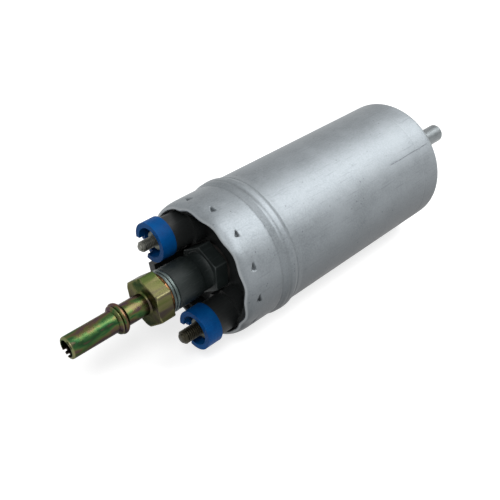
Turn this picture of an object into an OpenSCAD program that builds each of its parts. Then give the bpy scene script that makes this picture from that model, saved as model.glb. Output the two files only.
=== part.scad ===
// Inline electric fuel pump: a drawn can holds a permanent magnet motor and a gerotor pumping stage.
// The pump lies along X: the inlet tube points to +X and the outlet tube to -X, with +Z up.
// The origin is on the axis, at the middle of the plain stretch of the can that a band clamp grips.
// Stations along the axis are counted from the can's lip plane, positive towards the inlet.
// Clock angles are seen from the inlet end: 0 is up (+Z) and 90 is towards +Y.

/* [Can] */
// Outer radius of the drawn can
can_r = 26; // [24:0.5:34]
// Wall of the can
can_wall = 1.5; // [1:0.1:1.8]
// Length from the lip plane to the outside of the closed end
can_len = 110.5; // [100:0.5:150]
// Thickness of the closed end
can_end = 2; // [1.5:0.1:3]
// Rounding of the closed end's edge
can_edge_r = 2.5; // [1:0.1:3]
// How far the crimped lip reaches in front of the lip plane
lip_reach = 2.1; // [1:0.1:2.5]
// Depth behind the lip plane where the lip starts to turn in
lip_start = 3.2; // [2:0.1:5]
// How far the lip turns in, measured at its inner edge
lip_turn = 2.4; // [2:0.1:2.6]
// Height of the rolled bead around the can
bead_rise = 0.9; // [0.4:0.1:1.2]
// Station where the bead starts
bead_at = 14.5; // [10:0.5:20]
// Length of the bead's front slope
bead_front = 3.5; // [2:0.5:5]
// Length of the bead's crown
bead_crown = 2.5; // [1:0.5:4]
// Length of the bead's rear slope
bead_rear = 5; // [3:0.5:7]

/* [Outlet cover] */
// Depth of the cover's front floor behind the lip plane
floor_at = 6; // [5:0.5:8]
// Thickness of the cover's disc
disc_t = 10; // [9.5:0.5:12]
// Depth of the brush bay between the disc and the motor
brush_bay = 27; // [27:0.5:32]
// Wall of the cover's skirt around the brush bay
skirt_wall = 2.4; // [2:0.1:2.4]
// Width of the cover's front rim
rim_w = 2; // [1.5:0.1:2.5]
// Distance of the terminal towers from the axis
tower_d = 17; // [16.8:0.1:17.5]
// Radius of a terminal tower
tower_r = 7; // [6.5:0.1:7]
// Clock angle of the tower with the thin stud
tower_clock = 41; // [0:1:90]
// Front face of the thin stud's tower, in front of the lip plane
tower_a_reach = 7.3; // [6:0.1:8.5]
// Front face of the thick stud's tower, in front of the lip plane
tower_b_reach = 7.5; // [6:0.1:8.5]
// Radius of the collar at a tower's foot
collar_r = 8.4; // [7.5:0.1:8.5]
// Front face of the collar, behind the lip plane
collar_at = 0.8; // [0:0.1:3]
// Clock angle of the locating lug
lug_clock = 104; // [100:1:120]
// Inner face of the lug, from the axis
lug_in = 11.2; // [10.6:0.1:12]
// Outer face of the lug, from the axis
lug_out = 14.6; // [14:0.1:16]
// Width of the lug
lug_w = 9.6; // [6:0.1:10]
// Reach of the lug in front of the lip plane
lug_reach = 11.5; // [8:0.5:12]
// Room around the check valve's hexagon for a socket
socket_room = 0.4; // [0.3:0.1:1]
// Depth of the counterbore for a stud's seal
seal_bore_h = 1.8; // [1.5:0.1:2]
// Wall of the ring that carries the front bush
hub_wall = 2.8; // [2:0.1:3.5]
// Width of the ribs that hold the bush's ring
hub_rib_w = 4; // [3:0.5:6]
// How far the ribs reach past the bush's ring
hub_rib_reach = 1.5; // [1:0.1:3]
// Distance of the O-ring's groove from the back of the disc
groove_to_back = 5; // [4.5:0.1:6]

/* [Terminals] */
// Radius of the thin stud
stud_a_r = 2; // [1.5:0.1:2.2]
// Radius of the thick stud
stud_b_r = 2.5; // [2:0.1:2.7]
// Tip of the thin stud, in front of the lip plane
stud_a_reach = 17.6; // [15:0.1:20]
// Tip of the thick stud, in front of the lip plane
stud_b_reach = 19.9; // [17:0.1:22]
// Width across flats of the thin stud's nut
nut_a_af = 7; // [6:0.5:8]
// Width across flats of the thick stud's nut
nut_b_af = 8; // [7:0.5:9]
// Height of the thin stud's nut
nut_a_h = 2.2; // [2:0.1:3.2]
// Height of the thick stud's nut
nut_b_h = 2.7; // [2:0.1:4]
// Step from a stud's thread down to the radius it has in its nut and behind it
thread_step = 0.2; // [0.1:0.05:0.3]
// Radius of the washers under the nuts
washer_r = 4.8; // [4.5:0.1:5.2]
// Thickness of the washers under the nuts
washer_t = 0.6; // [0.4:0.1:1]
// Outer radius of the insulating cups
cup_r = 7.5; // [7.2:0.1:8]
// Wall of the insulating cups
cup_wall = 1.9; // [1.2:0.1:2]
// Floor of the insulating cups
cup_floor = 0.7; // [0.5:0.1:1.2]
// Height of the thin stud's cup
cup_a_h = 5.9; // [4.5:0.1:7]
// Height of the thick stud's cup
cup_b_h = 6.5; // [5:0.1:7.5]
// Half angle of the gap in a cup's front rim
gap_half = 33; // [25:1:40]
// Half angle of the gap deeper in the cup
gap_deep_half = 18; // [12:1:24]
// Depth of the wide gap below the cup's rim
gap_step = 2.2; // [1.5:0.1:2.4]
// Radius of the heads of the studs, inside the cover
stud_head_r = 3.6; // [3.2:0.1:3.8]
// Thickness of the heads of the studs
stud_head_h = 2; // [1.5:0.1:3]
// Thickness of the brass strips between studs and brush guides
strip_t = 0.8; // [0.5:0.1:1]
// Width of the brass strips
strip_w = 4; // [3:0.5:4]
// Length of a strip's foot under its brush guide
strip_foot = 5; // [3:0.5:7]

/* [Outlet line] */
// Outer radius of the outlet tube
out_tube_r = 4; // [3.5:0.1:4.2]
// Wall of the outlet tube
out_tube_wall = 1; // [0.7:0.1:1.2]
// Tip of the outlet tube, in front of the lip plane
out_tube_reach = 56.5; // [50:0.5:65]
// Crown of the hose bead, in front of the lip plane
hose_bead_at = 36.7; // [34:0.1:40]
// Radius of the hose bead's crown
hose_bead_r = 5.6; // [5.2:0.1:6]
// Length of the hose bead
hose_bead_len = 5.3; // [4:0.1:6]
// Width of one slot in the tube's tip
tip_slot_w = 0.9; // [0.5:0.1:1.2]
// Width of the tab between the two slots of a pair
tip_tab_w = 0.9; // [0.5:0.1:1.2]
// Depth of the slots in the tube's tip
tip_slot_depth = 1.3; // [0.5:0.1:2]
// Width across flats of the outlet fitting
fit_af = 17; // [16.5:0.5:19]
// Front face of the fitting's hexagon, in front of the lip plane
fit_reach = 25.9; // [25:0.1:30]
// Length of the fitting's hexagon
fit_hex_h = 6.1; // [5:0.1:8]
// Thickness of the fitting's round collar
fit_collar_h = 1.05; // [0.8:0.05:1.1]
// Radius of the fitting's round collar
fit_collar_r = 8.2; // [7.8:0.1:8.4]
// Radius of the fitting's thread
fit_thread_r = 5.95; // [5.5:0.05:6]
// Length of the fitting's thread
fit_thread_h = 9.45; // [8:0.05:9.6]
// How deep the tube sits in the fitting, behind its collar
out_tube_seat = 5; // [3:0.5:6]
// Thickness of each sealing washer
seal_t = 1.3; // [1:0.05:1.3]
// Outer radius of the sealing washers
seal_r = 8; // [7.5:0.1:8.2]

/* [Check valve] */
// Front face of the valve body, in front of the lip plane
valve_reach = 16; // [15.5:0.1:18]
// Radius of the valve body
valve_r = 7.9; // [7.5:0.1:8]
// Length of the valve body's round front part
valve_round_h = 10.5; // [9:0.1:11]
// Radius of the neck behind the round part
valve_neck_r = 7.2; // [6.8:0.1:7.4]
// Width across flats of the valve body
valve_af = 17; // [16.5:0.5:18]
// Front face of the valve body's hexagon, in front of the lip plane
valve_hex_reach = 0.5; // [0:0.1:2]
// Thickness of the gasket under the hexagon
gasket_t = 1; // [0.8:0.1:1.2]
// Radius of the thread in the cover
valve_thread_r = 5.95; // [5.5:0.05:6]
// Length of the thread in the cover
valve_thread_h = 9; // [8:0.1:9.2]
// Radius of the valve chamber
chamber_r = 4.6; // [4.4:0.1:4.7]
// Radius of the passage behind the seat
passage_r = 2.6; // [2.4:0.1:2.8]
// Thickness of the guide disc
guide_t = 1.2; // [1:0.1:1.5]
// Radius of the poppet's stem
stem_r = 1.2; // [1:0.1:1.3]
// Radius of the poppet's head
poppet_r = 4; // [3.6:0.1:4.1]
// Thickness of the poppet's head
poppet_h = 1.6; // [1.2:0.1:2]
// Thickness of the rubber seal on the head
poppet_seal_t = 1.2; // [0.8:0.1:1.4]
// Depth of the valve chamber's front step, where the guide disc lies
valve_step_depth = 8; // [7.5:0.1:8.5]
// Distance of the seat behind the cover's floor
seat_depth = 3.5; // [3:0.1:4]
// Inner radius of the closing spring
valve_spring_r = 1.7; // [1.5:0.1:2]
// Thickness of the closing spring's wire
valve_wire = 0.7; // [0.4:0.1:0.8]

/* [Inlet] */
// Outer radius of the inlet tube
in_tube_r = 4; // [3.5:0.1:6]
// Wall of the inlet tube
in_tube_wall = 1; // [0.7:0.1:1.2]
// Length of the inlet tube outside the can
in_tube_len = 35.5; // [25:0.5:45]
// Radius of the tube's flange inside the can
in_flange_r = 6.5; // [6:0.1:8]
// Thickness of the tube's flange
in_flange_t = 1.6; // [1:0.1:2]
// Radius of the inlet strainer
strainer_r = 10; // [9.5:0.5:12]
// Wall of the inlet strainer
strainer_wall = 0.6; // [0.4:0.1:1]
// Number of windows in the strainer
strainer_windows = 8; // [6:1:12]
// Gap between the strainer and the inlet side plate
strainer_gap = 0.9; // [0.5:0.1:2]

/* [Motor] */
// Radius of the shaft at its bushes
shaft_r = 2.5; // [2:0.1:2.6]
// Radius of the shaft under the lamination stack
shaft_core_r = 3; // [3:0.1:3.6]
// Outer radius of the bushes
bush_r = 5; // [4.6:0.1:5.4]
// Length of the front bush
front_bush_h = 7; // [5:0.5:7]
// Outer radius of the rear bush
rear_bush_r = 4.5; // [4:0.1:5]
// Thickness of the thrust washers
thrust_t = 0.9; // [0.5:0.1:1]
// Radius of the commutator
comm_r = 8; // [7.5:0.1:8.5]
// Length of the commutator
comm_h = 10.5; // [9:0.5:10.5]
// Thickness of the commutator's bars
bar_t = 2.4; // [1.5:0.1:2.6]
// Width of the slots between the bars
bar_slot_w = 0.5; // [0.3:0.1:0.8]
// Depth of the slots between the bars
bar_slot_depth = 1; // [0.5:0.1:1.5]
// Height of the bars' risers above the commutator
riser_step = 1.6; // [1:0.1:2]
// Length of the risers along the axis
riser_h = 2; // [1:0.1:2.5]
// Number of slots in the laminations, and of commutator bars
slots = 10; // [8:2:12]
// Iron between the shaft and the slots
core_iron = 4.75; // [4:0.05:5]
// Iron between the slots and the laminations' rim
tooth_tip = 1.3; // [1:0.1:2]
// Width of the slots that hold the windings
turn_slot_w = 3.2; // [2.5:0.1:3.4]
// Width of the slots' mouths
slot_mouth_w = 1.2; // [0.8:0.1:2]
// Thickness of the insulating discs on the laminations
insulator_t = 1; // [0.5:0.1:1.5]
// Air gap between laminations and magnets
air_gap = 0.6; // [0.4:0.1:1]
// Thickness of the magnets
magnet_t = 5.85; // [5:0.05:6]
// Half angle of a magnet
magnet_half = 64; // [55:1:66]
// How far the magnets reach past the lamination stack
magnet_over = 4.5; // [2:0.5:5]
// Wall of the flux ring
flux_wall = 2.4; // [1.5:0.1:2.6]
// Space for the front end turns
turns_front = 6; // [5:0.5:8]
// Space for the rear end turns and thrust washer
turns_rear = 8; // [8:0.5:10]
// Brush size along the pump's axis
brush_len = 6; // [4:0.5:6.5]
// Brush size across the pump's axis
brush_w = 5; // [4:0.5:6]
// Brush height, from the commutator outwards
brush_h = 7; // [5:0.5:8]
// Wall of the brush guides
guide_wall = 0.5; // [0.3:0.1:0.8]
// Thickness of the brush guides' closed end
guide_cap_t = 0.8; // [0.5:0.1:1.2]
// Wire of the brush springs
brush_wire = 0.4; // [0.3:0.1:0.6]
// Thickness of the brush plate
plate_t = 2.4; // [2:0.1:3]

/* [Pumping stage] */
// Teeth on the inner rotor; the outer rotor has one more
teeth = 6; // [5:1:7]
// Distance between the axes of the two rotors
ecc = 1.3; // [1.1:0.1:1.4]
// Radius of the circle on which the outer rotor's lobes are centred
lobe_at = 12.5; // [12.3:0.1:13]
// Radius of the outer rotor's lobes
lobe_r = 3.6; // [3.3:0.1:3.7]
// Outer radius of the outer rotor
rotor_r = 15; // [14.5:0.1:15.2]
// Width of the rotors
rotor_w = 8; // [6:0.5:12]
// Clearance between the rotors' teeth
mesh_gap = 0.08; // [0.06:0.01:0.12]
// Thickness of the outlet side plate
out_plate_t = 6; // [5:0.5:8]
// Thickness of the inlet side plate
in_plate_t = 6; // [5.5:0.5:8]
// Height of the inlet plate's rim over the inlet chamber
in_rim_h = 5.5; // [5.5:0.5:8]
// Wall of the inlet plate's rim
in_rim_wall = 1.9; // [1.5:0.1:2]
// Depth of the O-rings' grooves
groove_depth = 1.75; // [1.6:0.05:1.8]
// Width of the O-rings' grooves
groove_w = 2.6; // [2.2:0.1:2.8]
// Half the thickness of the O-rings' cord
o_ring_r = 0.87; // [0.8:0.01:0.87]
// Distance of the rear O-ring's groove from the rotors
rear_groove_in = 1.8; // [1.5:0.1:2]
// Half angle of the kidney ports
port_half = 62; // [50:1:70]
// Clock angle from the pump's axis to the outer rotor's axis
ecc_clock = 311; // [0:1:359]
// Distance of the screws and of the relief valve from the axis
screw_d = 19.2; // [19:0.1:19.4]
// Radius of the pump screws
screw_r = 1.5; // [1.2:0.1:1.6]
// Radius of the screws' heads
screw_head_r = 2.7; // [2.4:0.1:2.75]
// Height of the screws' heads
screw_head_h = 2.2; // [1.6:0.1:2.6]
// Radius of the relief valve's ball
ball_r = 2.2; // [2:0.05:2.3]
// Radius of the hole that the ball closes
relief_hole_r = 1.3; // [1:0.1:1.5]
// Room around the ball for the fuel that passes it, on the radius
ball_room = 0.35; // [0.2:0.05:0.5]
// Depth of the ball's seat in the outlet side plate
ball_seat_depth = 2; // [1.5:0.1:2.5]
// Length of the relief valve's plug
plug_h = 3.5; // [2.5:0.5:4]
// Metal left behind the screws' threads in the outlet side plate
thread_floor = 1.5; // [1:0.1:2]
// Width of the drive key
key_w = 1.5; // [1:0.1:1.6]

/* [Fits] */
// Running clearance of shafts, the poppet's stem and the outer rotor, on the radius
run_fit = 0.04; // [0.02:0.01:0.08]
// Clearance of the parts that are pressed, screwed or clamped in place, on the radius
seat_fit = 0.05; // [0.03:0.01:0.08]
// Clearance between the can and what slides into it, on the radius
can_fit = 0.1; // [0.05:0.05:0.15]
// Clearance between faces that run past each other
side_fit = 0.05; // [0.03:0.01:0.1]
// Clearance of what is pressed onto the shaft, and of a ball on its seat
press_gap = 0.02; // [0.01:0.01:0.03]
// Clearance between a brush and the commutator
brush_gap = 0.06; // [0.03:0.01:0.1]
// Clearance between the commutator and the brush guides
guide_gap = 1.2; // [0.8:0.1:1.5]
// Clearance around the windings in their slots
winding_fit = 0.15; // [0.1:0.05:0.3]
// Clearance between the windings and the pieces that stand still
turns_gap = 0.8; // [0.5:0.1:1.5]
// Clearance between the brush gear and the cover's skirt
skirt_gap = 0.5; // [0.3:0.1:0.8]

/* [Hidden] */
$fn = 64;
eps = 0.01;
far = 60;

// Stations of the stack inside the can, from the lip plane backwards
can_in_r = can_r - can_wall;
fit_r = can_in_r - can_fit;
bead_end = bead_at + bead_front + bead_crown + bead_rear;
plain_end = can_len - can_edge_r;
band_mid = (bead_end + plain_end) / 2;
lip_mouth_r = can_r - lip_turn;
disc_back = floor_at + disc_t;
motor_at = disc_back + brush_bay;
chamber_end = can_len - can_end;
in_collar_r = in_tube_r + 0.3;
in_rim_at = chamber_end - in_rim_h;
in_plate_at = in_rim_at - in_plate_t;
rotor_at = in_plate_at - rotor_w;
out_plate_at = rotor_at - out_plate_t;

// Front faces of the nuts
nut_a_front = -tower_a_reach - cup_floor - washer_t - nut_a_h;
nut_b_front = -tower_b_reach - cup_floor - washer_t - nut_b_h;

// The motor's radii, from the can inwards
skirt_in_r = fit_r - skirt_wall;
flux_in_r = fit_r - flux_wall;
magnet_out_r = flux_in_r - seat_fit;
magnet_in_r = magnet_out_r - magnet_t;
stack_r = magnet_in_r - air_gap;

// The motor's stations
hub_ring_at = disc_back + 4;
front_bush_end = hub_ring_at + front_bush_h;
front_thrust_at = front_bush_end + side_fit;
comm_hub_at = front_thrust_at + thrust_t + 0.3;
plate_at = comm_hub_at + 0.3;
comm_at = plate_at + 0.9;
comm_end = comm_at + comm_h;
riser_r = comm_r + riser_step;
bar_in_r = comm_r - bar_t;
stack_at = motor_at + turns_front;
stack_end = out_plate_at - turns_rear;
rear_thrust_at = out_plate_at - side_fit - thrust_t;
core_end = rear_thrust_at - side_fit;
comm_hub_end = motor_at + 0.5;
turn_slot_in = shaft_core_r + core_iron;
turn_slot_out = stack_r - tooth_tip;

// Brush gear, along the line of the two towers
guide_x0 = plate_at + plate_t;
brush_mid = guide_x0 + guide_wall + seat_fit + brush_len / 2;
brush_foot = comm_r + brush_gap;
brush_top = brush_foot + brush_h;
guide_foot = comm_r + guide_gap;
guide_tip = skirt_in_r - skirt_gap;
guide_in_top = guide_tip - guide_cap_t;
strip_out = skirt_in_r - can_fit - seat_fit;
strip_leg_in = strip_out - strip_t;
foot_in = guide_tip - strip_foot;
strip_room = 0.2;

// Line of the outlet: the sealing washers lie between the valve body and the fitting's collar
fit_hex_back = -fit_reach + fit_hex_h;
fit_collar_back = fit_hex_back + fit_collar_h;
fit_thread_back = fit_collar_back + fit_thread_h;
out_tube_back = fit_collar_back + out_tube_seat;
seal_in_r = fit_thread_r + 0.15;
valve_step = -valve_reach + valve_step_depth;
valve_hex_back = floor_at - gasket_t;
valve_spigot_back = floor_at + valve_thread_h;
seat_at = floor_at + seat_depth;
poppet_seal_back = seat_at - side_fit;
poppet_back = poppet_seal_back - poppet_seal_t;
poppet_front = poppet_back - poppet_h;
guide_front = fit_thread_back + side_fit;
guide_back = guide_front + guide_t;
stem_front = guide_front - 0.2;

// Pumping stage
steps_per_tooth = 28;
shaft_nose = 4;
key_at = rotor_at + 1;
key_end = in_plate_at - 1;
port_margin = 1.2;
port_in_r = lobe_at - ecc - lobe_r - port_margin;
port_out_r = lobe_at - port_margin + press_gap;
relief_clock = ecc_clock + 180;
relief_r = ball_r + ball_room;
relief_seat = out_plate_at + ball_seat_depth;
ball_at = relief_seat + sqrt(pow(ball_r, 2) - pow(relief_hole_r, 2)) + press_gap;
plug_at = in_rim_at - plug_h;
groove_r = fit_r - groove_depth;
front_groove_at = disc_back - groove_to_back;
rear_groove_at = in_plate_at + rear_groove_in;

// Turns a clock angle into the angle of a piece that is drawn along its own Z axis.
function clock(angle) = 180 - angle;

// Points of an arc, from angle a0 to a1.
function arc(r, a0, a1, n = 12) = [
    for (i = [0:n]) r * [cos(a0 + (a1 - a0) * i / n), sin(a0 + (a1 - a0) * i / n)]
];

// A smooth step from 0 to 1.
function rise(t) = (1 - cos(180 * t)) / 2;

// Lays a piece that was drawn along Z, with Z as its station, onto the pump's axis.
module on_axis() {
    rotate([0, 90, 0]) translate([0, 0, -band_mid]) children();
}

// Moves a piece out from the axis, at a clock angle.
module at_clock(angle, d = 0) {
    rotate([0, 0, clock(angle)]) translate([d, 0, 0]) children();
}

// A round bar or tube between two stations.
module tube(r, z0, z1, bore = 0) {
    translate([0, 0, z0]) linear_extrude(z1 - z0) difference() {
        circle(r);
        if (bore > 0) circle(bore);
    }
}

// A block that reaches from d0 to d1 away from the axis, w wide, between two stations.
module radial_block(d0, d1, w, z0, z1) {
    translate([d0, -w / 2, z0]) cube([d1 - d0, w, z1 - z0]);
}

// A flat sector of a ring, drawn about the X axis.
module sector(r0, r1, half) {
    polygon(concat(arc(r1, -half, half, 24), arc(r0, half, -half, 24)));
}

// A wedge about the X axis, from the centre out past any piece.
module wedge(half) {
    polygon([[0, 0], far * [cos(half), -sin(half)], far * [1, 0], far * [cos(half), sin(half)]]);
}

// A flat sector of a ring with true round edges.
module true_sector(r0, r1, half) {
    intersection() {
        difference() {
            circle(r1);
            circle(r0);
        }
        wedge(half);
    }
}

// A hexagonal bar whose front corners are turned off at 30 degrees.
module hex_bar(af, z0, z1, chamfer) {
    corner = af / sqrt(3);
    intersection() {
        translate([0, 0, z0]) cylinder(r = corner, h = z1 - z0, $fn = 6);
        rotate_extrude() polygon([
            [0, z0],
            [corner - chamfer, z0],
            [corner + eps, z0 + chamfer * tan(30)],
            [corner + eps, z1],
            [0, z1]
        ]);
    }
}

// Profile points of the can's outside along the bead, as radius and station.
function bead_profile(offset) = concat(
    [for (i = [0:6]) [can_r + offset + bead_rise * rise(i / 6), bead_at + bead_front * i / 6]],
    [for (i = [0:8]) [can_r + offset + bead_rise * rise(1 - i / 8), bead_end - bead_rear * (1 - i / 8)]]
);

function backwards(list) = [for (i = [len(list) - 1:-1:0]) list[i]];

// Deep drawn aluminium can: closed at the inlet end, crimped over the outlet cover at the other.
module casing() {
    color([0.72, 0.73, 0.74]) on_axis() rotate_extrude() {
        lip_nose_r = can_r - lip_turn * 0.75;
        outside = concat(
            [for (i = [0:6]) [
                lip_nose_r + (can_r - lip_nose_r) * sin(15 * i),
                lip_start - (lip_start + lip_reach) * cos(15 * i)
            ]],
            bead_profile(0),
            [for (i = [0:6]) [
                can_r - can_edge_r + can_edge_r * cos(15 * i),
                plain_end + can_edge_r * sin(15 * i)
            ]]
        );
        inside = concat(
            [[lip_mouth_r + 0.1, -lip_reach + 0.5], [lip_mouth_r, -0.4], [can_in_r, lip_start]],
            bead_profile(-can_wall),
            [[can_in_r, chamber_end], [in_collar_r + seat_fit, chamber_end]]
        );
        polygon(concat(outside, [[in_collar_r + seat_fit, can_len]], backwards(inside)));
    }
}

// Aluminium inlet tube, with a flange that bears on the inside of the can's closed end.
module inlet_tube() {
    bore = in_tube_r - in_tube_wall;
    tip = can_len + in_tube_len;
    nose = 0.4;
    collar_h = 0.5;
    color([0.74, 0.75, 0.76]) on_axis() rotate_extrude() polygon([
        [bore, chamber_end - seat_fit - in_flange_t],
        [in_flange_r, chamber_end - seat_fit - in_flange_t],
        [in_flange_r, chamber_end - seat_fit],
        [in_collar_r, chamber_end - seat_fit],
        [in_collar_r, can_len + collar_h],
        [in_tube_r, can_len + collar_h],
        [in_tube_r, tip - nose],
        [in_tube_r - nose, tip],
        [bore, tip]
    ]);
}

// Strainer cup over the inlet tube's flange, with windows for the gauze.
module inlet_strainer() {
    top = in_rim_at + strainer_gap;
    foot = chamber_end - seat_fit;
    rail_h = 1.2;
    window_h = foot - top - 2 * rail_h;
    color([0.85, 0.84, 0.78]) on_axis() difference() {
        tube(strainer_r, top, foot);
        tube(strainer_r - strainer_wall, top + strainer_wall, foot + eps);
        for (i = [0:strainer_windows - 1])
            rotate([0, 0, i * 360 / strainer_windows])
                radial_block(strainer_r - 2 * strainer_wall, far, strainer_r / 2,
                    top + rail_h, top + rail_h + window_h);
    }
}

// O-ring between a piece and the can's inner wall.
module can_o_ring(groove_at) {
    color([0.06, 0.06, 0.06]) on_axis() rotate_extrude()
        translate([groove_r + seat_fit + o_ring_r, groove_at + groove_w / 2]) circle(o_ring_r, $fn = 32);
}

module rear_o_ring() {
    can_o_ring(rear_groove_at);
}

module front_o_ring() {
    can_o_ring(front_groove_at);
}

// The bore of a stud through its tower, with the counterbore for its seal.
module stud_hole(r, reach) {
    tube(r + seat_fit, -reach - eps, disc_back + eps);
    tube(stud_head_r, disc_back - seal_bore_h, disc_back + eps);
}

// Moulded outlet cover: front disc, terminal towers, locating lug, skirt and the carrier of the front bush.
module outlet_cover() {
    tower_limit_r = lip_mouth_r - 0.4;
    color([0.10, 0.11, 0.11]) on_axis() difference() {
        union() {
            rotate_extrude() polygon([
                [0, floor_at],
                [lip_mouth_r - rim_w, floor_at],
                [lip_mouth_r - rim_w, 0],
                [lip_mouth_r - can_fit, 0],
                [fit_r, lip_start + 0.2],
                [fit_r, front_groove_at],
                [groove_r, front_groove_at],
                [groove_r, front_groove_at + groove_w],
                [fit_r, front_groove_at + groove_w],
                [fit_r, motor_at],
                [skirt_in_r, motor_at],
                [skirt_in_r, disc_back],
                [0, disc_back]
            ]);
            intersection() {
                union() {
                    at_clock(tower_clock, tower_d) tube(tower_r, -tower_a_reach, floor_at + eps);
                    at_clock(tower_clock, tower_d) tube(collar_r, collar_at, floor_at + eps);
                    at_clock(tower_clock + 180, tower_d) tube(tower_r, -tower_b_reach, floor_at + eps);
                    at_clock(tower_clock + 180, tower_d) tube(collar_r, collar_at, floor_at + eps);
                }
                tube(tower_limit_r, -far, far);
            }
            at_clock(lug_clock) radial_block(lug_in, lug_out, lug_w, -lug_reach, floor_at + eps);
            tube(bush_r + hub_wall, hub_ring_at, front_bush_end);
            for (i = [0:2])
                at_clock(tower_clock + 90 + 120 * i)
                    radial_block(valve_thread_r + 0.3, bush_r + hub_wall + hub_rib_reach, hub_rib_w,
                        disc_back - eps, front_bush_end);
        }
        tube(valve_af / sqrt(3) + socket_room, -far, floor_at);
        tube(valve_thread_r + seat_fit, floor_at - eps, disc_back + eps);
        tube(bush_r + seat_fit, hub_ring_at - eps, front_bush_end + eps);
        at_clock(tower_clock, tower_d) stud_hole(stud_a_r, tower_a_reach);
        at_clock(tower_clock + 180, tower_d) stud_hole(stud_b_r, tower_b_reach);
    }
}

// Blue insulating cup around a terminal: its gap lets the tail of a ring terminal out.
module cup(stud_r, reach, h) {
    front = -reach - h;
    difference() {
        tube(cup_r, front, -reach);
        tube(cup_r - cup_wall, front - eps, -reach - cup_floor);
        tube(stud_r + seat_fit, front, far);
        translate([0, 0, front - eps]) linear_extrude(gap_step + eps)
            wedge(gap_half);
        translate([0, 0, front]) linear_extrude(h - cup_floor) wedge(gap_deep_half);
    }
}

module terminal_cup_thin() {
    color([0.05, 0.35, 0.75]) on_axis() at_clock(tower_clock, tower_d)
        rotate([0, 0, -90]) cup(stud_a_r, tower_a_reach, cup_a_h);
}

module terminal_cup_thick() {
    color([0.05, 0.30, 0.70]) on_axis() at_clock(tower_clock + 180, tower_d)
        rotate([0, 0, 90]) cup(stud_b_r, tower_b_reach, cup_b_h);
}

// Terminal stud, with its dog point and free thread in front, and its head behind the cover's disc.
module stud(r, reach, nut_front) {
    dog_h = 0.6;
    dog_r = r - 0.8;
    lead = 0.35;
    thread_end = nut_front - 0.1;
    head_at = disc_back + seat_fit + strip_t + seat_fit;
    rotate_extrude() polygon([
        [0, -reach],
        [dog_r, -reach],
        [dog_r + 0.1, -reach + dog_h],
        [r - lead, -reach + dog_h],
        [r, -reach + dog_h + lead],
        [r, thread_end],
        [r - thread_step, thread_end],
        [r - thread_step, head_at],
        [stud_head_r, head_at],
        [stud_head_r, head_at + stud_head_h],
        [0, head_at + stud_head_h]
    ]);
}

module terminal_stud_thin() {
    color([0.55, 0.54, 0.48]) on_axis() at_clock(tower_clock, tower_d)
        stud(stud_a_r, stud_a_reach, nut_a_front);
}

module terminal_stud_thick() {
    color([0.42, 0.40, 0.33]) on_axis() at_clock(tower_clock + 180, tower_d)
        stud(stud_b_r, stud_b_reach, nut_b_front);
}

// Thin hexagon nut on the washer in the cup.
module nut(r, af, h, front, turn) {
    rotate([0, 0, turn]) difference() {
        hex_bar(af, front, front + h, 0.4);
        tube(r - thread_step + seat_fit, front - eps, front + h + eps);
    }
}

module terminal_nut_thin() {
    color([0.72, 0.68, 0.58]) on_axis() at_clock(tower_clock, tower_d)
        nut(stud_a_r, nut_a_af, nut_a_h, nut_a_front, 20);
}

module terminal_nut_thick() {
    color([0.55, 0.52, 0.42]) on_axis() at_clock(tower_clock + 180, tower_d)
        nut(stud_b_r, nut_b_af, nut_b_h, nut_b_front, 5);
}

// Flat washer between the cup's floor and the nut.
module terminal_washer(r, reach) {
    back = -reach - cup_floor;
    tube(washer_r, back - washer_t, back, r + seat_fit);
}

module terminal_washer_thin() {
    color([0.66, 0.63, 0.55]) on_axis() at_clock(tower_clock, tower_d)
        terminal_washer(stud_a_r, tower_a_reach);
}

module terminal_washer_thick() {
    color([0.55, 0.52, 0.44]) on_axis() at_clock(tower_clock + 180, tower_d)
        terminal_washer(stud_b_r, tower_b_reach);
}

// Rubber ring that seals a stud in the disc's counterbore.
module stud_seal(r) {
    thick = (stud_head_r - r) / 2 - seat_fit;
    rotate_extrude() translate([(stud_head_r + r) / 2, disc_back - thick - seat_fit])
        circle(thick, $fn = 32);
}

module stud_seal_thin() {
    color([0.06, 0.06, 0.06]) on_axis() at_clock(tower_clock, tower_d) stud_seal(stud_a_r);
}

module stud_seal_thick() {
    color([0.06, 0.06, 0.06]) on_axis() at_clock(tower_clock + 180, tower_d) stud_seal(stud_b_r);
}

// Brass strip from a stud's head to the foot of its brush guide.
module terminal_strip(r) {
    top = disc_back + seat_fit;
    difference() {
        union() {
            translate([tower_d, 0, 0]) tube(stud_head_r, top, top + strip_t);
            radial_block(tower_d, strip_out, strip_w, top, top + strip_t);
            radial_block(strip_leg_in, strip_out, strip_w, top, guide_x0);
            radial_block(foot_in, strip_out, strip_w, guide_x0 - strip_t, guide_x0);
        }
        translate([tower_d, 0, 0]) tube(r + seat_fit, top - eps, top + strip_t + eps);
    }
}

module terminal_strip_thin() {
    color([0.80, 0.63, 0.30]) on_axis() at_clock(tower_clock) terminal_strip(stud_a_r);
}

module terminal_strip_thick() {
    color([0.80, 0.63, 0.30]) on_axis() at_clock(tower_clock + 180) terminal_strip(stud_b_r);
}

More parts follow.
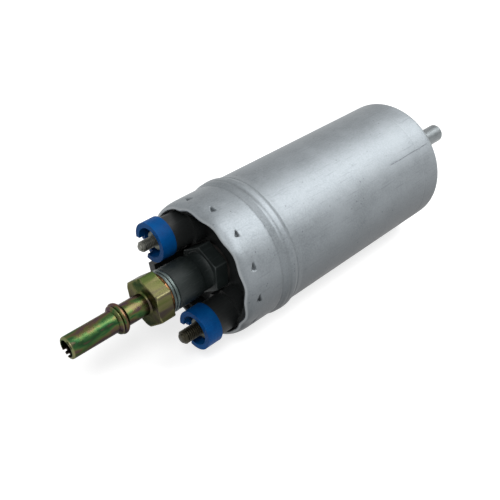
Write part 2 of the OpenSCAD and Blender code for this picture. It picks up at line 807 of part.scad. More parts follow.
// Blackened steel check valve body: round front, neck, hexagon and the thread into the cover.
module check_valve_body() {
    edge = 0.5;
    seat_land = 0.8;
    seat_relief = 0.5;
    color([0.20, 0.23, 0.23]) on_axis() difference() {
        union() {
            rotate_extrude() polygon([
                [0, -valve_reach],
                [valve_r - edge, -valve_reach],
                [valve_r, -valve_reach + edge],
                [valve_r, -valve_reach + valve_round_h],
                [valve_neck_r, -valve_reach + valve_round_h + edge],
                [valve_neck_r, valve_hex_back - eps],
                [valve_thread_r, valve_hex_back - eps],
                [valve_thread_r, valve_spigot_back],
                [0, valve_spigot_back]
            ]);
            rotate([0, 0, clock(4)]) hex_bar(valve_af, -valve_hex_reach, valve_hex_back, 0.5);
        }
        tube(fit_thread_r + seat_fit, -valve_reach - eps, valve_step);
        tube(chamber_r, valve_step - eps, seat_at);
        tube(chamber_r, seat_at - eps, seat_at + seat_relief, passage_r + seat_land);
        tube(passage_r, seat_at - eps, valve_spigot_back + eps);
    }
}

// Fibre gasket between the hexagon and the cover's floor.
module valve_gasket() {
    color([0.35, 0.22, 0.16]) on_axis()
        tube(valve_af / 2 - 0.1, valve_hex_back + eps, floor_at - eps, valve_thread_r + 0.15);
}

// Disc that guides the poppet's stem, clamped between the fitting's thread and the body's step.
module valve_guide() {
    hole_at = 3;
    hole_r = 1;
    color([0.80, 0.63, 0.30]) on_axis() difference() {
        tube(fit_thread_r, guide_front, guide_back, stem_r + run_fit);
        for (i = [0:2])
            rotate([0, 0, 120 * i]) translate([hole_at, 0, 0])
                tube(hole_r, guide_front - eps, guide_back + eps);
    }
}

// Poppet: stem, head, and the pip that is riveted over the seal.
module valve_poppet() {
    pip_r = passage_r - 0.6;
    pip_h = 0.8;
    color([0.75, 0.76, 0.77]) on_axis() rotate_extrude() polygon([
        [0, stem_front],
        [stem_r, stem_front],
        [stem_r, poppet_front],
        [poppet_r, poppet_front],
        [poppet_r, poppet_back],
        [stem_r, poppet_back],
        [stem_r, poppet_seal_back + side_fit],
        [pip_r, poppet_seal_back + side_fit],
        [pip_r, poppet_seal_back + pip_h],
        [0, poppet_seal_back + pip_h]
    ]);
}

// Rubber seal on the poppet's head.
module valve_seal() {
    color([0.06, 0.06, 0.06]) on_axis()
        tube(poppet_r, poppet_back + eps, poppet_seal_back, stem_r + seat_fit);
}

// Closing spring of the check valve, around the poppet's stem.
module valve_spring() {
    color([0.70, 0.71, 0.72]) on_axis()
        tube(valve_spring_r + valve_wire, guide_back + eps, poppet_front - eps, valve_spring_r);
}

// Metal sealing washer with rounded edges.
module sealing_washer(z0) {
    edge = 0.35;
    rotate_extrude() polygon([
        [seal_in_r, z0],
        [seal_r - edge, z0],
        [seal_r, z0 + edge],
        [seal_r, z0 + seal_t - edge],
        [seal_r - edge, z0 + seal_t],
        [seal_in_r, z0 + seal_t]
    ]);
}

module sealing_washer_front() {
    color([0.62, 0.63, 0.63]) on_axis() sealing_washer(-valve_reach - 2 * (seal_t + seat_fit / 2));
}

module sealing_washer_rear() {
    color([0.62, 0.63, 0.63]) on_axis() sealing_washer(-valve_reach - seal_t - seat_fit / 4);
}

// Yellow zinc plated fitting: hexagon, round collar and the thread into the check valve body.
module outlet_fitting() {
    fillet_h = 1;
    funnel_h = 1.5;
    color([0.62, 0.58, 0.34]) on_axis() difference() {
        union() {
            rotate([0, 0, clock(10.3)]) hex_bar(fit_af, -fit_reach, fit_hex_back, 0.9);
            tube(fit_collar_r, fit_hex_back - eps, fit_collar_back);
            tube(fit_thread_r, fit_collar_back - eps, fit_thread_back);
            rotate_extrude() polygon([
                [0, -fit_reach - fillet_h],
                [out_tube_r + 0.2, -fit_reach - fillet_h],
                [out_tube_r + 0.5, -fit_reach - fillet_h / 2],
                [out_tube_r + 1.2, -fit_reach + eps],
                [0, -fit_reach + eps]
            ]);
        }
        tube(out_tube_r + seat_fit, -far, out_tube_back);
        tube(out_tube_r - out_tube_wall, fit_collar_back, fit_thread_back + eps);
        tube(chamber_r - 0.2, fit_thread_back - funnel_h, fit_thread_back + eps);
    }
}

// Outlet tube with its hose bead, and two pairs of small slots in its tip.
module outlet_tube() {
    bore = out_tube_r - out_tube_wall;
    nose = 0.6;
    tab_drop = 0.35;
    steps = 10;
    bead_x0 = -hose_bead_at - hose_bead_len / 2;
    color([0.45, 0.50, 0.36]) on_axis() difference() {
        rotate_extrude() polygon(concat(
            [[bore, -out_tube_reach]],
            [for (i = [0:3]) [
                out_tube_r - nose + nose * sin(30 * i),
                -out_tube_reach + nose - nose * cos(30 * i)
            ]],
            [for (i = [0:steps]) [
                out_tube_r + (hose_bead_r - out_tube_r) * (1 - cos(360 * i / steps)) / 2,
                bead_x0 + hose_bead_len * i / steps
            ]],
            [[out_tube_r, out_tube_back - seat_fit], [bore, out_tube_back - seat_fit]]
        ));
        for (angle = [323, 154]) at_clock(angle) {
            for (side = [-1, 1])
                translate([0, side * (tip_tab_w + tip_slot_w) / 2, 0])
                    radial_block(bore - 1, out_tube_r + 1, tip_slot_w,
                        -out_tube_reach - eps, -out_tube_reach + tip_slot_depth);
            radial_block(bore - 1, out_tube_r + 1, tip_tab_w + 2 * eps,
                -out_tube_reach - eps, -out_tube_reach + tab_drop);
        }
    }
}

// Sintered bush that carries the shaft's front end.
module front_bush() {
    color([0.62, 0.50, 0.33]) on_axis() tube(bush_r, hub_ring_at, front_bush_end, shaft_r + run_fit);
}

// Plastic plate that carries the brush guides, with pockets for the strips' feet.
module brush_plate() {
    color([0.80, 0.76, 0.66]) on_axis() difference() {
        tube(skirt_in_r - can_fit, plate_at, guide_x0, comm_r + 1);
        for (side = [0, 180]) at_clock(tower_clock + side) {
            radial_block(foot_in - strip_room, far, strip_w + 2 * strip_room,
                guide_x0 - strip_t - seat_fit, guide_x0 + eps);
            radial_block(strip_leg_in - strip_room, far, strip_w + 2 * strip_room,
                plate_at - eps, guide_x0 + eps);
        }
    }
}

// Brass brush guide: a square tube, open at the commutator and closed outside.
module brush_guide() {
    inner_w = brush_w + 2 * seat_fit;
    inner_len = brush_len + 2 * seat_fit;
    x1 = guide_x0 + inner_len + 2 * guide_wall;
    difference() {
        radial_block(guide_foot, guide_tip, inner_w + 2 * guide_wall, guide_x0, x1);
        radial_block(guide_foot - eps, guide_in_top, inner_w, guide_x0 + guide_wall, x1 - guide_wall);
    }
}

module brush_guide_upper() {
    color([0.80, 0.63, 0.30]) on_axis() at_clock(tower_clock) brush_guide();
}

module brush_guide_lower() {
    color([0.80, 0.63, 0.30]) on_axis() at_clock(tower_clock + 180) brush_guide();
}

// Carbon brush, hollowed to the commutator's radius.
module brush() {
    difference() {
        radial_block(comm_r - 1, brush_top, brush_w, brush_mid - brush_len / 2, brush_mid + brush_len / 2);
        tube(brush_foot, plate_at, comm_end + riser_h);
    }
}

module brush_upper() {
    color([0.13, 0.13, 0.14]) on_axis() at_clock(tower_clock) brush();
}

module brush_lower() {
    color([0.13, 0.13, 0.14]) on_axis() at_clock(tower_clock + 180) brush();
}

// Spring between a brush and the closed end of its guide.
module brush_spring() {
    spring_r = brush_w / 2 - 0.3;
    translate([brush_top + eps, 0, brush_mid]) rotate([0, 90, 0])
        linear_extrude(guide_in_top - brush_top - 2 * eps) difference() {
            circle(spring_r);
            circle(spring_r - brush_wire);
        }
}

module brush_spring_upper() {
    color([0.70, 0.71, 0.72]) on_axis() at_clock(tower_clock) brush_spring();
}

module brush_spring_lower() {
    color([0.70, 0.71, 0.72]) on_axis() at_clock(tower_clock + 180) brush_spring();
}

// Steel shaft: thin in both bushes, thicker under the laminations, with a slot for the drive key.
module shaft() {
    chamfer = 0.3;
    front = hub_ring_at - 1;
    rear = in_plate_at + shaft_nose;
    core_at = comm_hub_end + 0.5;
    color([0.68, 0.69, 0.70]) on_axis() difference() {
        rotate_extrude() polygon([
            [0, front],
            [shaft_r - chamfer, front],
            [shaft_r, front + chamfer],
            [shaft_r, core_at],
            [shaft_core_r, core_at],
            [shaft_core_r, core_end],
            [shaft_r, core_end],
            [shaft_r, rear - chamfer],
            [shaft_r - chamfer, rear],
            [0, rear]
        ]);
        at_clock(ecc_clock)
            radial_block(shaft_r - key_w / 2, far, key_w + 2 * press_gap, key_at, key_end);
    }
}

// Moulded hub under the commutator bars.
module commutator_hub() {
    color([0.25, 0.16, 0.10]) on_axis() rotate_extrude() polygon([
        [shaft_r + press_gap, comm_hub_at],
        [bar_in_r - seat_fit, comm_hub_at],
        [bar_in_r - seat_fit, comm_end + riser_h + seat_fit],
        [comm_r - 0.5, comm_end + riser_h + seat_fit],
        [comm_r - 0.5, comm_hub_end],
        [shaft_r + press_gap, comm_hub_end]
    ]);
}

// Copper commutator with slots between its bars and risers at its rear end.
module commutator() {
    color([0.78, 0.45, 0.25]) on_axis() difference() {
        rotate_extrude() polygon([
            [bar_in_r, comm_at],
            [comm_r, comm_at],
            [comm_r, comm_end],
            [riser_r, comm_end],
            [riser_r, comm_end + riser_h],
            [bar_in_r, comm_end + riser_h]
        ]);
        for (i = [0:slots - 1])
            rotate([0, 0, 360 * (i + 0.5) / slots])
                radial_block(comm_r - bar_slot_depth, far, bar_slot_w,
                    comm_at - eps, comm_end + riser_h + eps);
    }
}

// Outline of a lamination, or of the insulating disc in front of it.
module lamination(outer_r, slot_w, slot_in, slot_out) {
    difference() {
        circle(outer_r);
        circle(shaft_core_r + press_gap);
        for (i = [0:slots - 1]) rotate(360 * i / slots) {
            translate([slot_in, -slot_w / 2]) square([slot_out - slot_in, slot_w]);
            translate([slot_out - 1, -slot_mouth_w / 2]) square([stack_r, slot_mouth_w]);
        }
    }
}

// Stack of electrical steel laminations.
module lamination_stack() {
    color([0.45, 0.45, 0.46]) on_axis() translate([0, 0, stack_at]) linear_extrude(stack_end - stack_at)
        lamination(stack_r, turn_slot_w, turn_slot_in, turn_slot_out);
}

// Insulating disc between the laminations and the end turns.
module insulator(z0) {
    translate([0, 0, z0]) linear_extrude(insulator_t - 2 * eps)
        lamination(stack_r - 0.4, turn_slot_w, turn_slot_in, turn_slot_out);
}

module insulator_front() {
    color([0.72, 0.30, 0.12]) on_axis() insulator(stack_at - insulator_t + eps);
}

module insulator_rear() {
    color([0.72, 0.30, 0.12]) on_axis() insulator(stack_end + eps);
}

// Windings: bars of wire in the slots, joined by the end turns on both sides.
module windings() {
    in_r = shaft_core_r + 2;
    out_r = turn_slot_out - winding_fit;
    round_off = 1.2;
    front = motor_at + turns_gap;
    rear = core_end - turns_gap - 0.4;
    color([0.70, 0.35, 0.18]) on_axis() {
        rotate_extrude() polygon([
            [in_r, front + round_off],
            [in_r + round_off, front],
            [out_r - round_off, front],
            [out_r, front + round_off],
            [out_r, stack_at - insulator_t - eps],
            [in_r, stack_at - insulator_t - eps]
        ]);
        rotate_extrude() polygon([
            [in_r, stack_end + insulator_t + eps],
            [out_r, stack_end + insulator_t + eps],
            [out_r, rear - round_off],
            [out_r - round_off, rear],
            [in_r + round_off, rear],
            [in_r, rear - round_off]
        ]);
        for (i = [0:slots - 1])
            rotate([0, 0, 360 * i / slots])
                radial_block(turn_slot_in + winding_fit, out_r - 0.2, turn_slot_w - 2 * winding_fit,
                    stack_at - insulator_t - 1, stack_end + insulator_t + 1);
    }
}

// Fibre thrust washer on the shaft.
module thrust_washer(z0) {
    tube(bush_r - 0.2, z0, z0 + thrust_t, shaft_r + seat_fit);
}

module thrust_washer_front() {
    color([0.55, 0.38, 0.20]) on_axis() thrust_washer(front_thrust_at);
}

module thrust_washer_rear() {
    color([0.55, 0.38, 0.20]) on_axis() thrust_washer(rear_thrust_at);
}

// Steel ring that closes the magnets' field and spaces the cover from the pumping stage.
module flux_ring() {
    color([0.55, 0.56, 0.57]) on_axis() tube(fit_r, motor_at + eps, out_plate_at - eps, flux_in_r);
}

// Arc magnet.
module magnet() {
    translate([0, 0, stack_at - magnet_over]) linear_extrude(stack_end - stack_at + 2 * magnet_over)
        true_sector(magnet_in_r, magnet_out_r, magnet_half);
}

module magnet_upper() {
    color([0.22, 0.22, 0.23]) on_axis() at_clock(tower_clock) magnet();
}

module magnet_lower() {
    color([0.22, 0.22, 0.23]) on_axis() at_clock(tower_clock + 180) magnet();
}

// Spring clips that hold the magnets apart against the flux ring.
module magnet_clips() {
    clip_t = 0.8;
    leg = 2;
    edge = 90 - magnet_half - 1;
    color([0.66, 0.67, 0.68]) on_axis() for (side = [0, 180]) at_clock(tower_clock + 90 + side)
        translate([0, 0, stack_at]) linear_extrude(stack_end - stack_at) difference() {
            true_sector(magnet_in_r + 1, magnet_out_r, edge);
            true_sector(magnet_in_r, magnet_out_r - clip_t, edge - leg);
        }
}

// Sintered bush in the outlet side plate.
module rear_bush() {
    bush_in = 0.2;
    color([0.62, 0.50, 0.33]) on_axis()
        tube(rear_bush_r, out_plate_at + bush_in, rotor_at - bush_in, shaft_r + run_fit);
}

// A kidney port, on one side of the line through the two rotor axes.
module port(side, z0, z1) {
    at_clock(ecc_clock) rotate([0, 0, side * 90])
        translate([0, 0, z0]) linear_extrude(z1 - z0) sector(port_in_r, port_out_r, port_half);
}

// Side plate between the motor and the rotors: outlet port, bush seat, screw threads and relief seat.
module pump_outlet_plate() {
    color([0.62, 0.63, 0.64]) on_axis() difference() {
        tube(fit_r, out_plate_at, rotor_at);
        tube(rear_bush_r + seat_fit, out_plate_at - eps, rotor_at + eps);
        port(1, out_plate_at - eps, rotor_at + eps);
        for (i = [-1:1])
            at_clock(ecc_clock + 120 * i, screw_d)
                tube(screw_r + seat_fit, out_plate_at + thread_floor, rotor_at + eps);
        at_clock(relief_clock, screw_d) tube(relief_hole_r, out_plate_at - eps, rotor_at);
        at_clock(relief_clock, screw_d) tube(relief_r, relief_seat, rotor_at + eps);
    }
}

// Eccentric ring in which the outer rotor runs.
module gerotor_ring() {
    color([0.55, 0.56, 0.57]) on_axis() difference() {
        tube(fit_r, rotor_at + eps, in_plate_at - eps);
        at_clock(ecc_clock, ecc) tube(rotor_r + run_fit, rotor_at, in_plate_at);
        for (i = [-1:1])
            at_clock(ecc_clock + 120 * i, screw_d) tube(screw_r + seat_fit, rotor_at, in_plate_at);
        at_clock(relief_clock, screw_d) tube(relief_r, rotor_at, in_plate_at);
    }
}

// Outer rotor: a round ring whose inner lobes are arcs, one more than the inner rotor has teeth.
module outer_rotor() {
    lobes = teeth + 1;
    pocket_r = lobe_at + 2 * ecc - lobe_r + 2 * mesh_gap;
    color([0.50, 0.51, 0.53]) on_axis() at_clock(ecc_clock, ecc)
        translate([0, 0, rotor_at + side_fit]) linear_extrude(rotor_w - 2 * side_fit) difference() {
            circle(rotor_r);
            difference() {
                circle(pocket_r);
                for (i = [0:lobes - 1]) rotate(360 * i / lobes) translate([lobe_at, 0]) circle(lobe_r);
            }
        }
}

// A point of the inner rotor: the path of a lobe's centre, moved inwards by the lobe's radius.
function trochoid(b) = let (
    p = lobe_at * [cos(b), sin(b)] + ecc * [cos((teeth + 1) * b), sin((teeth + 1) * b)],
    t = lobe_at * [-sin(b), cos(b)] + ecc * (teeth + 1) * [-sin((teeth + 1) * b), cos((teeth + 1) * b)],
    n = [t[1], -t[0]] / norm(t)
) p - (lobe_r + mesh_gap) * n;

// Angle of point i of the inner rotor: the points crowd into the narrow roots between two teeth.
function tooth_angle(i) = let (
    tooth = floor(i / steps_per_tooth),
    t = 2 * (i % steps_per_tooth) / steps_per_tooth - 1
) 180 / teeth * (2 * tooth + sin(90 * t));

// Inner rotor, keyed to the shaft.
module inner_rotor() {
    color([0.58, 0.59, 0.61]) on_axis() at_clock(ecc_clock)
        translate([0, 0, rotor_at + side_fit]) linear_extrude(rotor_w - 2 * side_fit) difference() {
            polygon([for (i = [0:teeth * steps_per_tooth - 1]) trochoid(tooth_angle(i))]);
            circle(shaft_r + press_gap);
            translate([0, -key_w / 2 - press_gap])
                square([shaft_r + key_w / 2 + press_gap, key_w + 2 * press_gap]);
        }
}

// Key between the shaft and the inner rotor.
module drive_key() {
    color([0.45, 0.46, 0.47]) on_axis() at_clock(ecc_clock)
        radial_block(shaft_r - key_w / 2 + press_gap, shaft_r + key_w / 2, key_w,
            key_at + press_gap, key_end - press_gap);
}

// Side plate between the rotors and the inlet chamber: inlet port, rim, O-ring groove and relief passage.
module pump_inlet_plate() {
    color([0.62, 0.63, 0.64]) on_axis() difference() {
        rotate_extrude() polygon([
            [0, in_plate_at],
            [fit_r, in_plate_at],
            [fit_r, rear_groove_at],
            [groove_r, rear_groove_at],
            [groove_r, rear_groove_at + groove_w],
            [fit_r, rear_groove_at + groove_w],
            [fit_r, chamber_end - eps],
            [fit_r - in_rim_wall, chamber_end - eps],
            [fit_r - in_rim_wall, in_rim_at],
            [0, in_rim_at]
        ]);
        tube(shaft_r + 0.3, in_plate_at - eps, in_plate_at + shaft_nose + 0.5);
        port(-1, in_plate_at - eps, in_rim_at + eps);
        for (i = [-1:1])
            at_clock(ecc_clock + 120 * i, screw_d)
                tube(screw_r + seat_fit, in_plate_at - eps, in_rim_at + eps);
        at_clock(relief_clock, screw_d) tube(relief_r, in_plate_at - eps, in_rim_at + eps);
    }
}

// Three screws that hold the pumping stage together.
module pump_screws() {
    tip = out_plate_at + thread_floor + 0.5;
    socket_r = 1.4;
    socket_h = 1.1;
    color([0.50, 0.50, 0.51]) on_axis() for (i = [-1:1])
        at_clock(ecc_clock + 120 * i, screw_d) difference() {
            rotate_extrude() polygon([
                [0, tip],
                [screw_r, tip],
                [screw_r, in_rim_at + eps],
                [screw_head_r, in_rim_at + eps],
                [screw_head_r, in_rim_at + screw_head_h],
                [0, in_rim_at + screw_head_h]
            ]);
            translate([0, 0, in_rim_at + screw_head_h - socket_h])
                cylinder(r = socket_r, h = 2 * socket_h, $fn = 6);
        }
}

// Ball of the relief valve.
module relief_ball() {
    color([0.75, 0.76, 0.78]) on_axis() at_clock(relief_clock, screw_d)
        translate([0, 0, ball_at]) sphere(ball_r);
}

// Spring between the relief ball and the plug.
module relief_spring() {
    spring_r = ball_r - 0.2;
    wire = 0.5;
    in_r = spring_r - wire;
    rest_on_ball = sqrt(pow(ball_r, 2) - pow(in_r, 2)) + seat_fit;
    color([0.70, 0.71, 0.72]) on_axis() at_clock(relief_clock, screw_d)
        tube(spring_r, ball_at + rest_on_ball, plug_at - eps, in_r);
}

// Hollow plug that sets the relief valve's opening pressure.
module relief_plug() {
    plug_bore_r = 0.9;
    socket_r = 1.5;
    socket_h = 1;
    color([0.80, 0.63, 0.30]) on_axis() at_clock(relief_clock, screw_d) difference() {
        tube(relief_r - seat_fit, plug_at, in_rim_at);
        tube(plug_bore_r, plug_at - eps, in_rim_at + eps);
        translate([0, 0, in_rim_at - socket_h]) cylinder(r = socket_r, h = 2 * socket_h, $fn = 6);
    }
}

casing();
inlet_tube();
inlet_strainer();
rear_o_ring();
front_o_ring();
outlet_cover();
terminal_cup_thin();
terminal_cup_thick();
terminal_stud_thin();
terminal_stud_thick();
terminal_nut_thin();
terminal_nut_thick();
terminal_washer_thin();
terminal_washer_thick();
stud_seal_thin();
stud_seal_thick();
terminal_strip_thin();
terminal_strip_thick();
check_valve_body();
valve_gasket();
valve_guide();
valve_poppet();
valve_seal();
valve_spring();
sealing_washer_front();
sealing_washer_rear();
outlet_fitting();
outlet_tube();
front_bush();
brush_plate();
brush_guide_upper();
brush_guide_lower();
brush_upper();
brush_lower();
brush_spring_upper();
brush_spring_lower();
shaft();
commutator_hub();
commutator();
insulator_front();
insulator_rear();
lamination_stack();
windings();
thrust_washer_front();
thrust_washer_rear();
flux_ring();
magnet_upper();
magnet_lower();
magnet_clips();
rear_bush();
pump_outlet_plate();
gerotor_ring();
outer_rotor();
inner_rotor();
drive_key();
pump_inlet_plate();
pump_screws();
relief_ball();
relief_spring();
relief_plug();
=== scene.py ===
import math

import bmesh
import bpy
import numpy as np
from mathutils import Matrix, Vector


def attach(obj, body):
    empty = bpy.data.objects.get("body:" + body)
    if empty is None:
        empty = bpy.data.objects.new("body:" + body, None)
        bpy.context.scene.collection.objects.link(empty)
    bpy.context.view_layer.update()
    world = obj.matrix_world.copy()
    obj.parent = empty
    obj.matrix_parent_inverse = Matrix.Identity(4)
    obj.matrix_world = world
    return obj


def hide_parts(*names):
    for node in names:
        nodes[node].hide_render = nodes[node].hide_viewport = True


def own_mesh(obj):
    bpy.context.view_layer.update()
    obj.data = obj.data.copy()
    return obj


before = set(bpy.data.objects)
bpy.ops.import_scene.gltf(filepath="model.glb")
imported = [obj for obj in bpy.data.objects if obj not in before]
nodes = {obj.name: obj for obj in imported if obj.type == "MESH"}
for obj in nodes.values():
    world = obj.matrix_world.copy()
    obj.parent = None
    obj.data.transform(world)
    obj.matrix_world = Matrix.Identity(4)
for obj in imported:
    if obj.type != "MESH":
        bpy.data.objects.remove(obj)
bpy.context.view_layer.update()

# The can. A deep drawn aluminium cup with a rolled bead, closed at the inlet end. Its open end is
# crimped over the outlet cover, which leaves a wavy lip, and chisel stakes around the lip hold it.
# Sizes are in millimetres, and a station is a place along X, measured from the lip's plane.
LIP_PLANE = 66.75
CAN_RADIUS = 26.0
CAN_WALL = 1.5
CAN_END = 110.5
BEAD_RISE = 0.9
STAKES = 13
FIRST_STAKE_DEGREES = 21.0
TOWER_DEGREES = 41.0
SHARP = math.radians(38.0)


def on_axis(station, radius, clock, aside=(0.0, 0.0)):
    """Points in metres from millimetres: x is the station less the lip plane's place, y and z are the
    radius times the sine and cosine of the clock angle in radians, moved aside by (y, z)."""
    station, radius, clock = np.broadcast_arrays(station, radius, clock)
    across = aside[0] + radius * np.sin(clock)
    up = aside[1] + radius * np.cos(clock)
    return np.stack([station - LIP_PLANE, across, up], axis=-1) / 1000.0


def round_the_clock(columns):
    """Clock angles in radians, evenly spaced once round, as one row."""
    return np.linspace(0.0, 2.0 * np.pi, columns, endpoint=False)[None, :]


def placed(name, data):
    """An object of this mesh, lamp or camera in the scene, at the origin."""
    piece = bpy.data.objects.new(name, data)
    bpy.context.scene.collection.objects.link(piece)
    return piece


def cleaned(name, mesh, sharp, join_flat=False):
    """An object of a mesh: points within a thousandth of a millimetre merged, then flat faces joined or
    normals turned outwards. Edges that turn by more than an angle in radians stay sharp."""
    work = bmesh.new()
    work.from_mesh(mesh)
    bmesh.ops.remove_doubles(work, verts=work.verts, dist=1e-6)
    if join_flat:
        bmesh.ops.dissolve_limit(work, angle_limit=math.radians(1.0), verts=work.verts, edges=work.edges)
    else:
        bmesh.ops.recalc_face_normals(work, faces=work.faces)
    work.to_mesh(mesh)
    work.free()
    mesh.shade_smooth()
    mesh.set_sharp_from_angle(angle=sharp)
    return placed(name, mesh)


def new_piece(name, surfaces, sharp=SHARP, **marks):
    """One mesh from grids of points whose columns go round. Neighbours are joined by four-sided faces;
    a ring also joins its last row to its first, and any other grid gets a face over each end row.
    Marks give the points values that a material reads."""
    points, faces, first = [], [], 0
    for grid, ring in surfaces:
        rows, columns = grid.shape[:2]
        i, j = np.meshgrid(np.arange(rows if ring else rows - 1), np.arange(columns), indexing="ij")
        here, below, beside = i * columns, (i + 1) % rows * columns, (j + 1) % columns
        quads = np.stack([here + j, here + beside, below + beside, below + j], axis=-1) + first
        faces += quads.reshape(-1, 4).tolist()
        if not ring:
            for corner in (first, first + (rows - 1) * columns):
                faces.append(list(range(corner, corner + columns)))
        points.append(grid.reshape(-1, 3))
        first += rows * columns
    mesh = bpy.data.meshes.new(name)
    mesh.from_pydata(np.concatenate(points).tolist(), [], faces)
    for label, values in marks.items():
        mark = mesh.attributes.new(label, "FLOAT", "POINT")
        mark.data.foreach_set("value", values.astype(np.float32).ravel())
    return cleaned(name, mesh, sharp)


def fitted(piece, slot, material, *replaced, body="pump_body"):
    """Gives a finished piece its material, its body and the nodes that it stands for. The slot is not used.
    """
    piece.data.materials.clear()
    piece.data.materials.append(material)
    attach(piece, body)
    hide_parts(*replaced)


def smooth(value, low, high):
    """A step from 0 at low to 1 at high that starts and ends level: 3 t squared less 2 t cubed."""
    t = np.clip((value - low) / (high - low), 0.0, 1.0)
    return t * t * (3.0 - 2.0 * t)


def arc(centre_s, centre_r, radius_s, radius_r, start, stop, count):
    """Stations and radii of a quarter round: centre plus cosine and sine of an angle in degrees."""
    angle = np.radians(np.linspace(start, stop, count))
    return np.stack([centre_s + radius_s * np.cos(angle), centre_r + radius_r * np.sin(angle)], axis=1)


def profile(stations, radii):
    """Stations and radii side by side, one row for each point of a section."""
    return np.stack(np.broadcast_arrays(stations, radii), axis=1)


def can_surface():
    """The can's wall as rows along its section and columns round the clock. Outside rows go from the
    lip's nose over the bead to the closed end, inside rows come back. The bead is half a cosine up
    and two smooth steps down, with three fine grooves. The lip's edge moves in and out with one
    cosine per stake. A stake is a notch with three corners: deep under its straight rear edge,
    running out to a point in front, and a low burr stands behind it. The other results are 1 in a
    notch, where the can's material paints shade, and 1 on the lip's rim, where it paints a highlight."""
    clock = round_the_clock(600)
    degrees = np.degrees(clock)
    bore = CAN_RADIUS - CAN_WALL
    fine_step = 0.22

    curl_end, curl_length, lip_radius = 3.2, 5.3, 24.2
    curl_rise = CAN_RADIUS - lip_radius
    lip = arc(curl_end, lip_radius, -curl_length, curl_rise, 0.0, 66.0, 14)
    band_s = np.arange(1.3, 7.0, fine_step)
    curl = np.clip((curl_end - band_s) / curl_length, 0.0, 1.0)
    band = profile(band_s, lip_radius + curl_rise * np.sqrt(1.0 - curl ** 2))
    front = profile([8.5, 11.0, 13.5], CAN_RADIUS)

    bead_s = np.arange(14.5, 25.51, fine_step)
    rise = 0.5 - 0.5 * np.cos(np.pi * np.clip((bead_s - 14.5) / 3.5, 0.0, 1.0))
    fall = 1.0 - 0.6 * smooth(bead_s, 20.3, 22.1) - 0.4 * smooth(bead_s, 22.0, 25.5)
    swell = BEAD_RISE * np.minimum(rise, fall)
    groove = sum(deep * np.exp(-((bead_s - at) / wide) ** 2)
                 for at, deep, wide in ((14.8, 0.15, 0.20), (17.9, 0.17, 0.60), (22.05, 0.16, 0.18)))
    bead = profile(bead_s, CAN_RADIUS + swell - groove)

    plain_s = np.concatenate([np.linspace(27.0, 98.6, 18), np.linspace(99.0, 100.2, 7), [103.0, 106.0]])
    faint_line = 0.07 * np.exp(-((plain_s - 99.6) / 0.22) ** 2)
    plain = profile(plain_s, CAN_RADIUS - faint_line)
    bend = 2.5
    edge = arc(CAN_END - bend, CAN_RADIUS - bend, bend, bend, 90.0, 0.0, 12)
    inner_end = CAN_END - 2.0
    end = profile([CAN_END, CAN_END, CAN_END, CAN_END - 0.08, CAN_END - 0.3, inner_end],
                  [21.0, 12.0, 6.0, 4.75, 4.35, 4.35])
    inside = profile([inner_end, 60.0, 26.0], bore)
    inner_bead = profile(bead_s, bore + swell)[::-4]
    mouth = profile([14.0, curl_end, -0.4, -1.6, -1.95], [bore, bore, 23.6, 23.7, 23.9])
    section = np.concatenate([lip, band, front, bead, plain, edge, end, inside, inner_bead, mouth])

    section_s, radius = section[:, :1], section[:, 1:]
    outside = np.zeros_like(section_s)
    outside[:len(lip) + len(band)] = 1.0
    stake = (degrees - FIRST_STAKE_DEGREES) * STAKES / 360.0
    number = np.round(stake)

    def by_stake(seed, low, high):
        """A random number for each stake, given to the columns that are nearest to it."""
        return np.random.default_rng(seed).uniform(low, high, STAKES)[number.astype(int) % STAKES]

    uneven = by_stake(7, 0.55, 1.0)
    wave = 0.5 + 0.5 * np.cos(2.0 * np.pi * stake)
    drift = 0.28 * np.sin(2.0 * clock + 0.6) + 0.18 * np.sin(5.0 * clock + 2.1)
    beside_tower = np.abs((degrees - TOWER_DEGREES + 90.0) % 180.0 - 90.0)
    free = smooth(beside_tower, 14.0, 24.0)
    pull = (0.95 * (wave - 0.45) * uneven + drift) * free - 0.10 * (1.0 - free)
    radius = radius - (1.0 - smooth(section_s, -2.1, 2.6)) * pull
    nose = 1.0 - smooth(section_s, -2.1, -0.6)
    station = section_s + 0.34 * nose * (1.0 - wave) * uneven

    across = (stake - number) * 2.0 * np.pi * CAN_RADIUS / STAKES
    along = 3.9 - section_s + by_stake(3, -0.25, 0.25) * across
    leaning = across + 0.5 * along
    bite = by_stake(5, 0.72, 1.05)
    half_width = 1.95 * bite * np.clip(1.0 - along / (2.3 * bite), 0.0, 1.0)
    in_notch = smooth(half_width - np.abs(leaning), 0.0, 0.7) * smooth(along, -0.25, 0.15)
    depth = 0.90 * bite * in_notch * (1.0 - 0.6 * smooth(along, 0.0, 2.2))
    hollow = 0.32 * bite * np.exp(-((along - 1.4) / 2.0) ** 2 - (across / 3.0) ** 2)
    burr = 0.14 * bite * np.exp(-((along + 0.55) / 0.30) ** 2 - (across / 1.5) ** 2)
    radius = radius - outside * (depth + hollow - burr)
    # The notch mask carries painted shade and the rim mask a painted highlight, for the can's material.
    rim = outside * (1.0 - smooth(section_s, -2.0, -1.3)) * np.ones_like(clock)
    return on_axis(station, radius, clock), outside * in_notch, rim


def node(tree, kind, feeds=None, **settings):
    """One shader node; feeds gives each input another node's socket or a plain value."""
    made = tree.nodes.new("ShaderNode" + kind)
    for name, value in settings.items():
        setattr(made, name, value)
    for name, value in (feeds or {}).items():
        if isinstance(value, bpy.types.NodeSocket):
            tree.links.new(value, made.inputs[name])
        else:
            made.inputs[name].default_value = value
    return made


def maths(tree, operation, first, second=0.0):
    """The result of one arithmetic step on sockets or plain values."""
    return node(tree, "Math", {0: first, 1: second}, operation=operation).outputs[0]


def times(tree, first, second):
    """The product of two sockets or plain values."""
    return maths(tree, "MULTIPLY", first, second)


def object_place(tree):
    """The surface's place in Object coordinates."""
    return node(tree, "TexCoord").outputs["Object"]


def object_parts(tree):
    """X, Y and Z of the surface's place."""
    return node(tree, "SeparateXYZ", {"Vector": object_place(tree)}).outputs


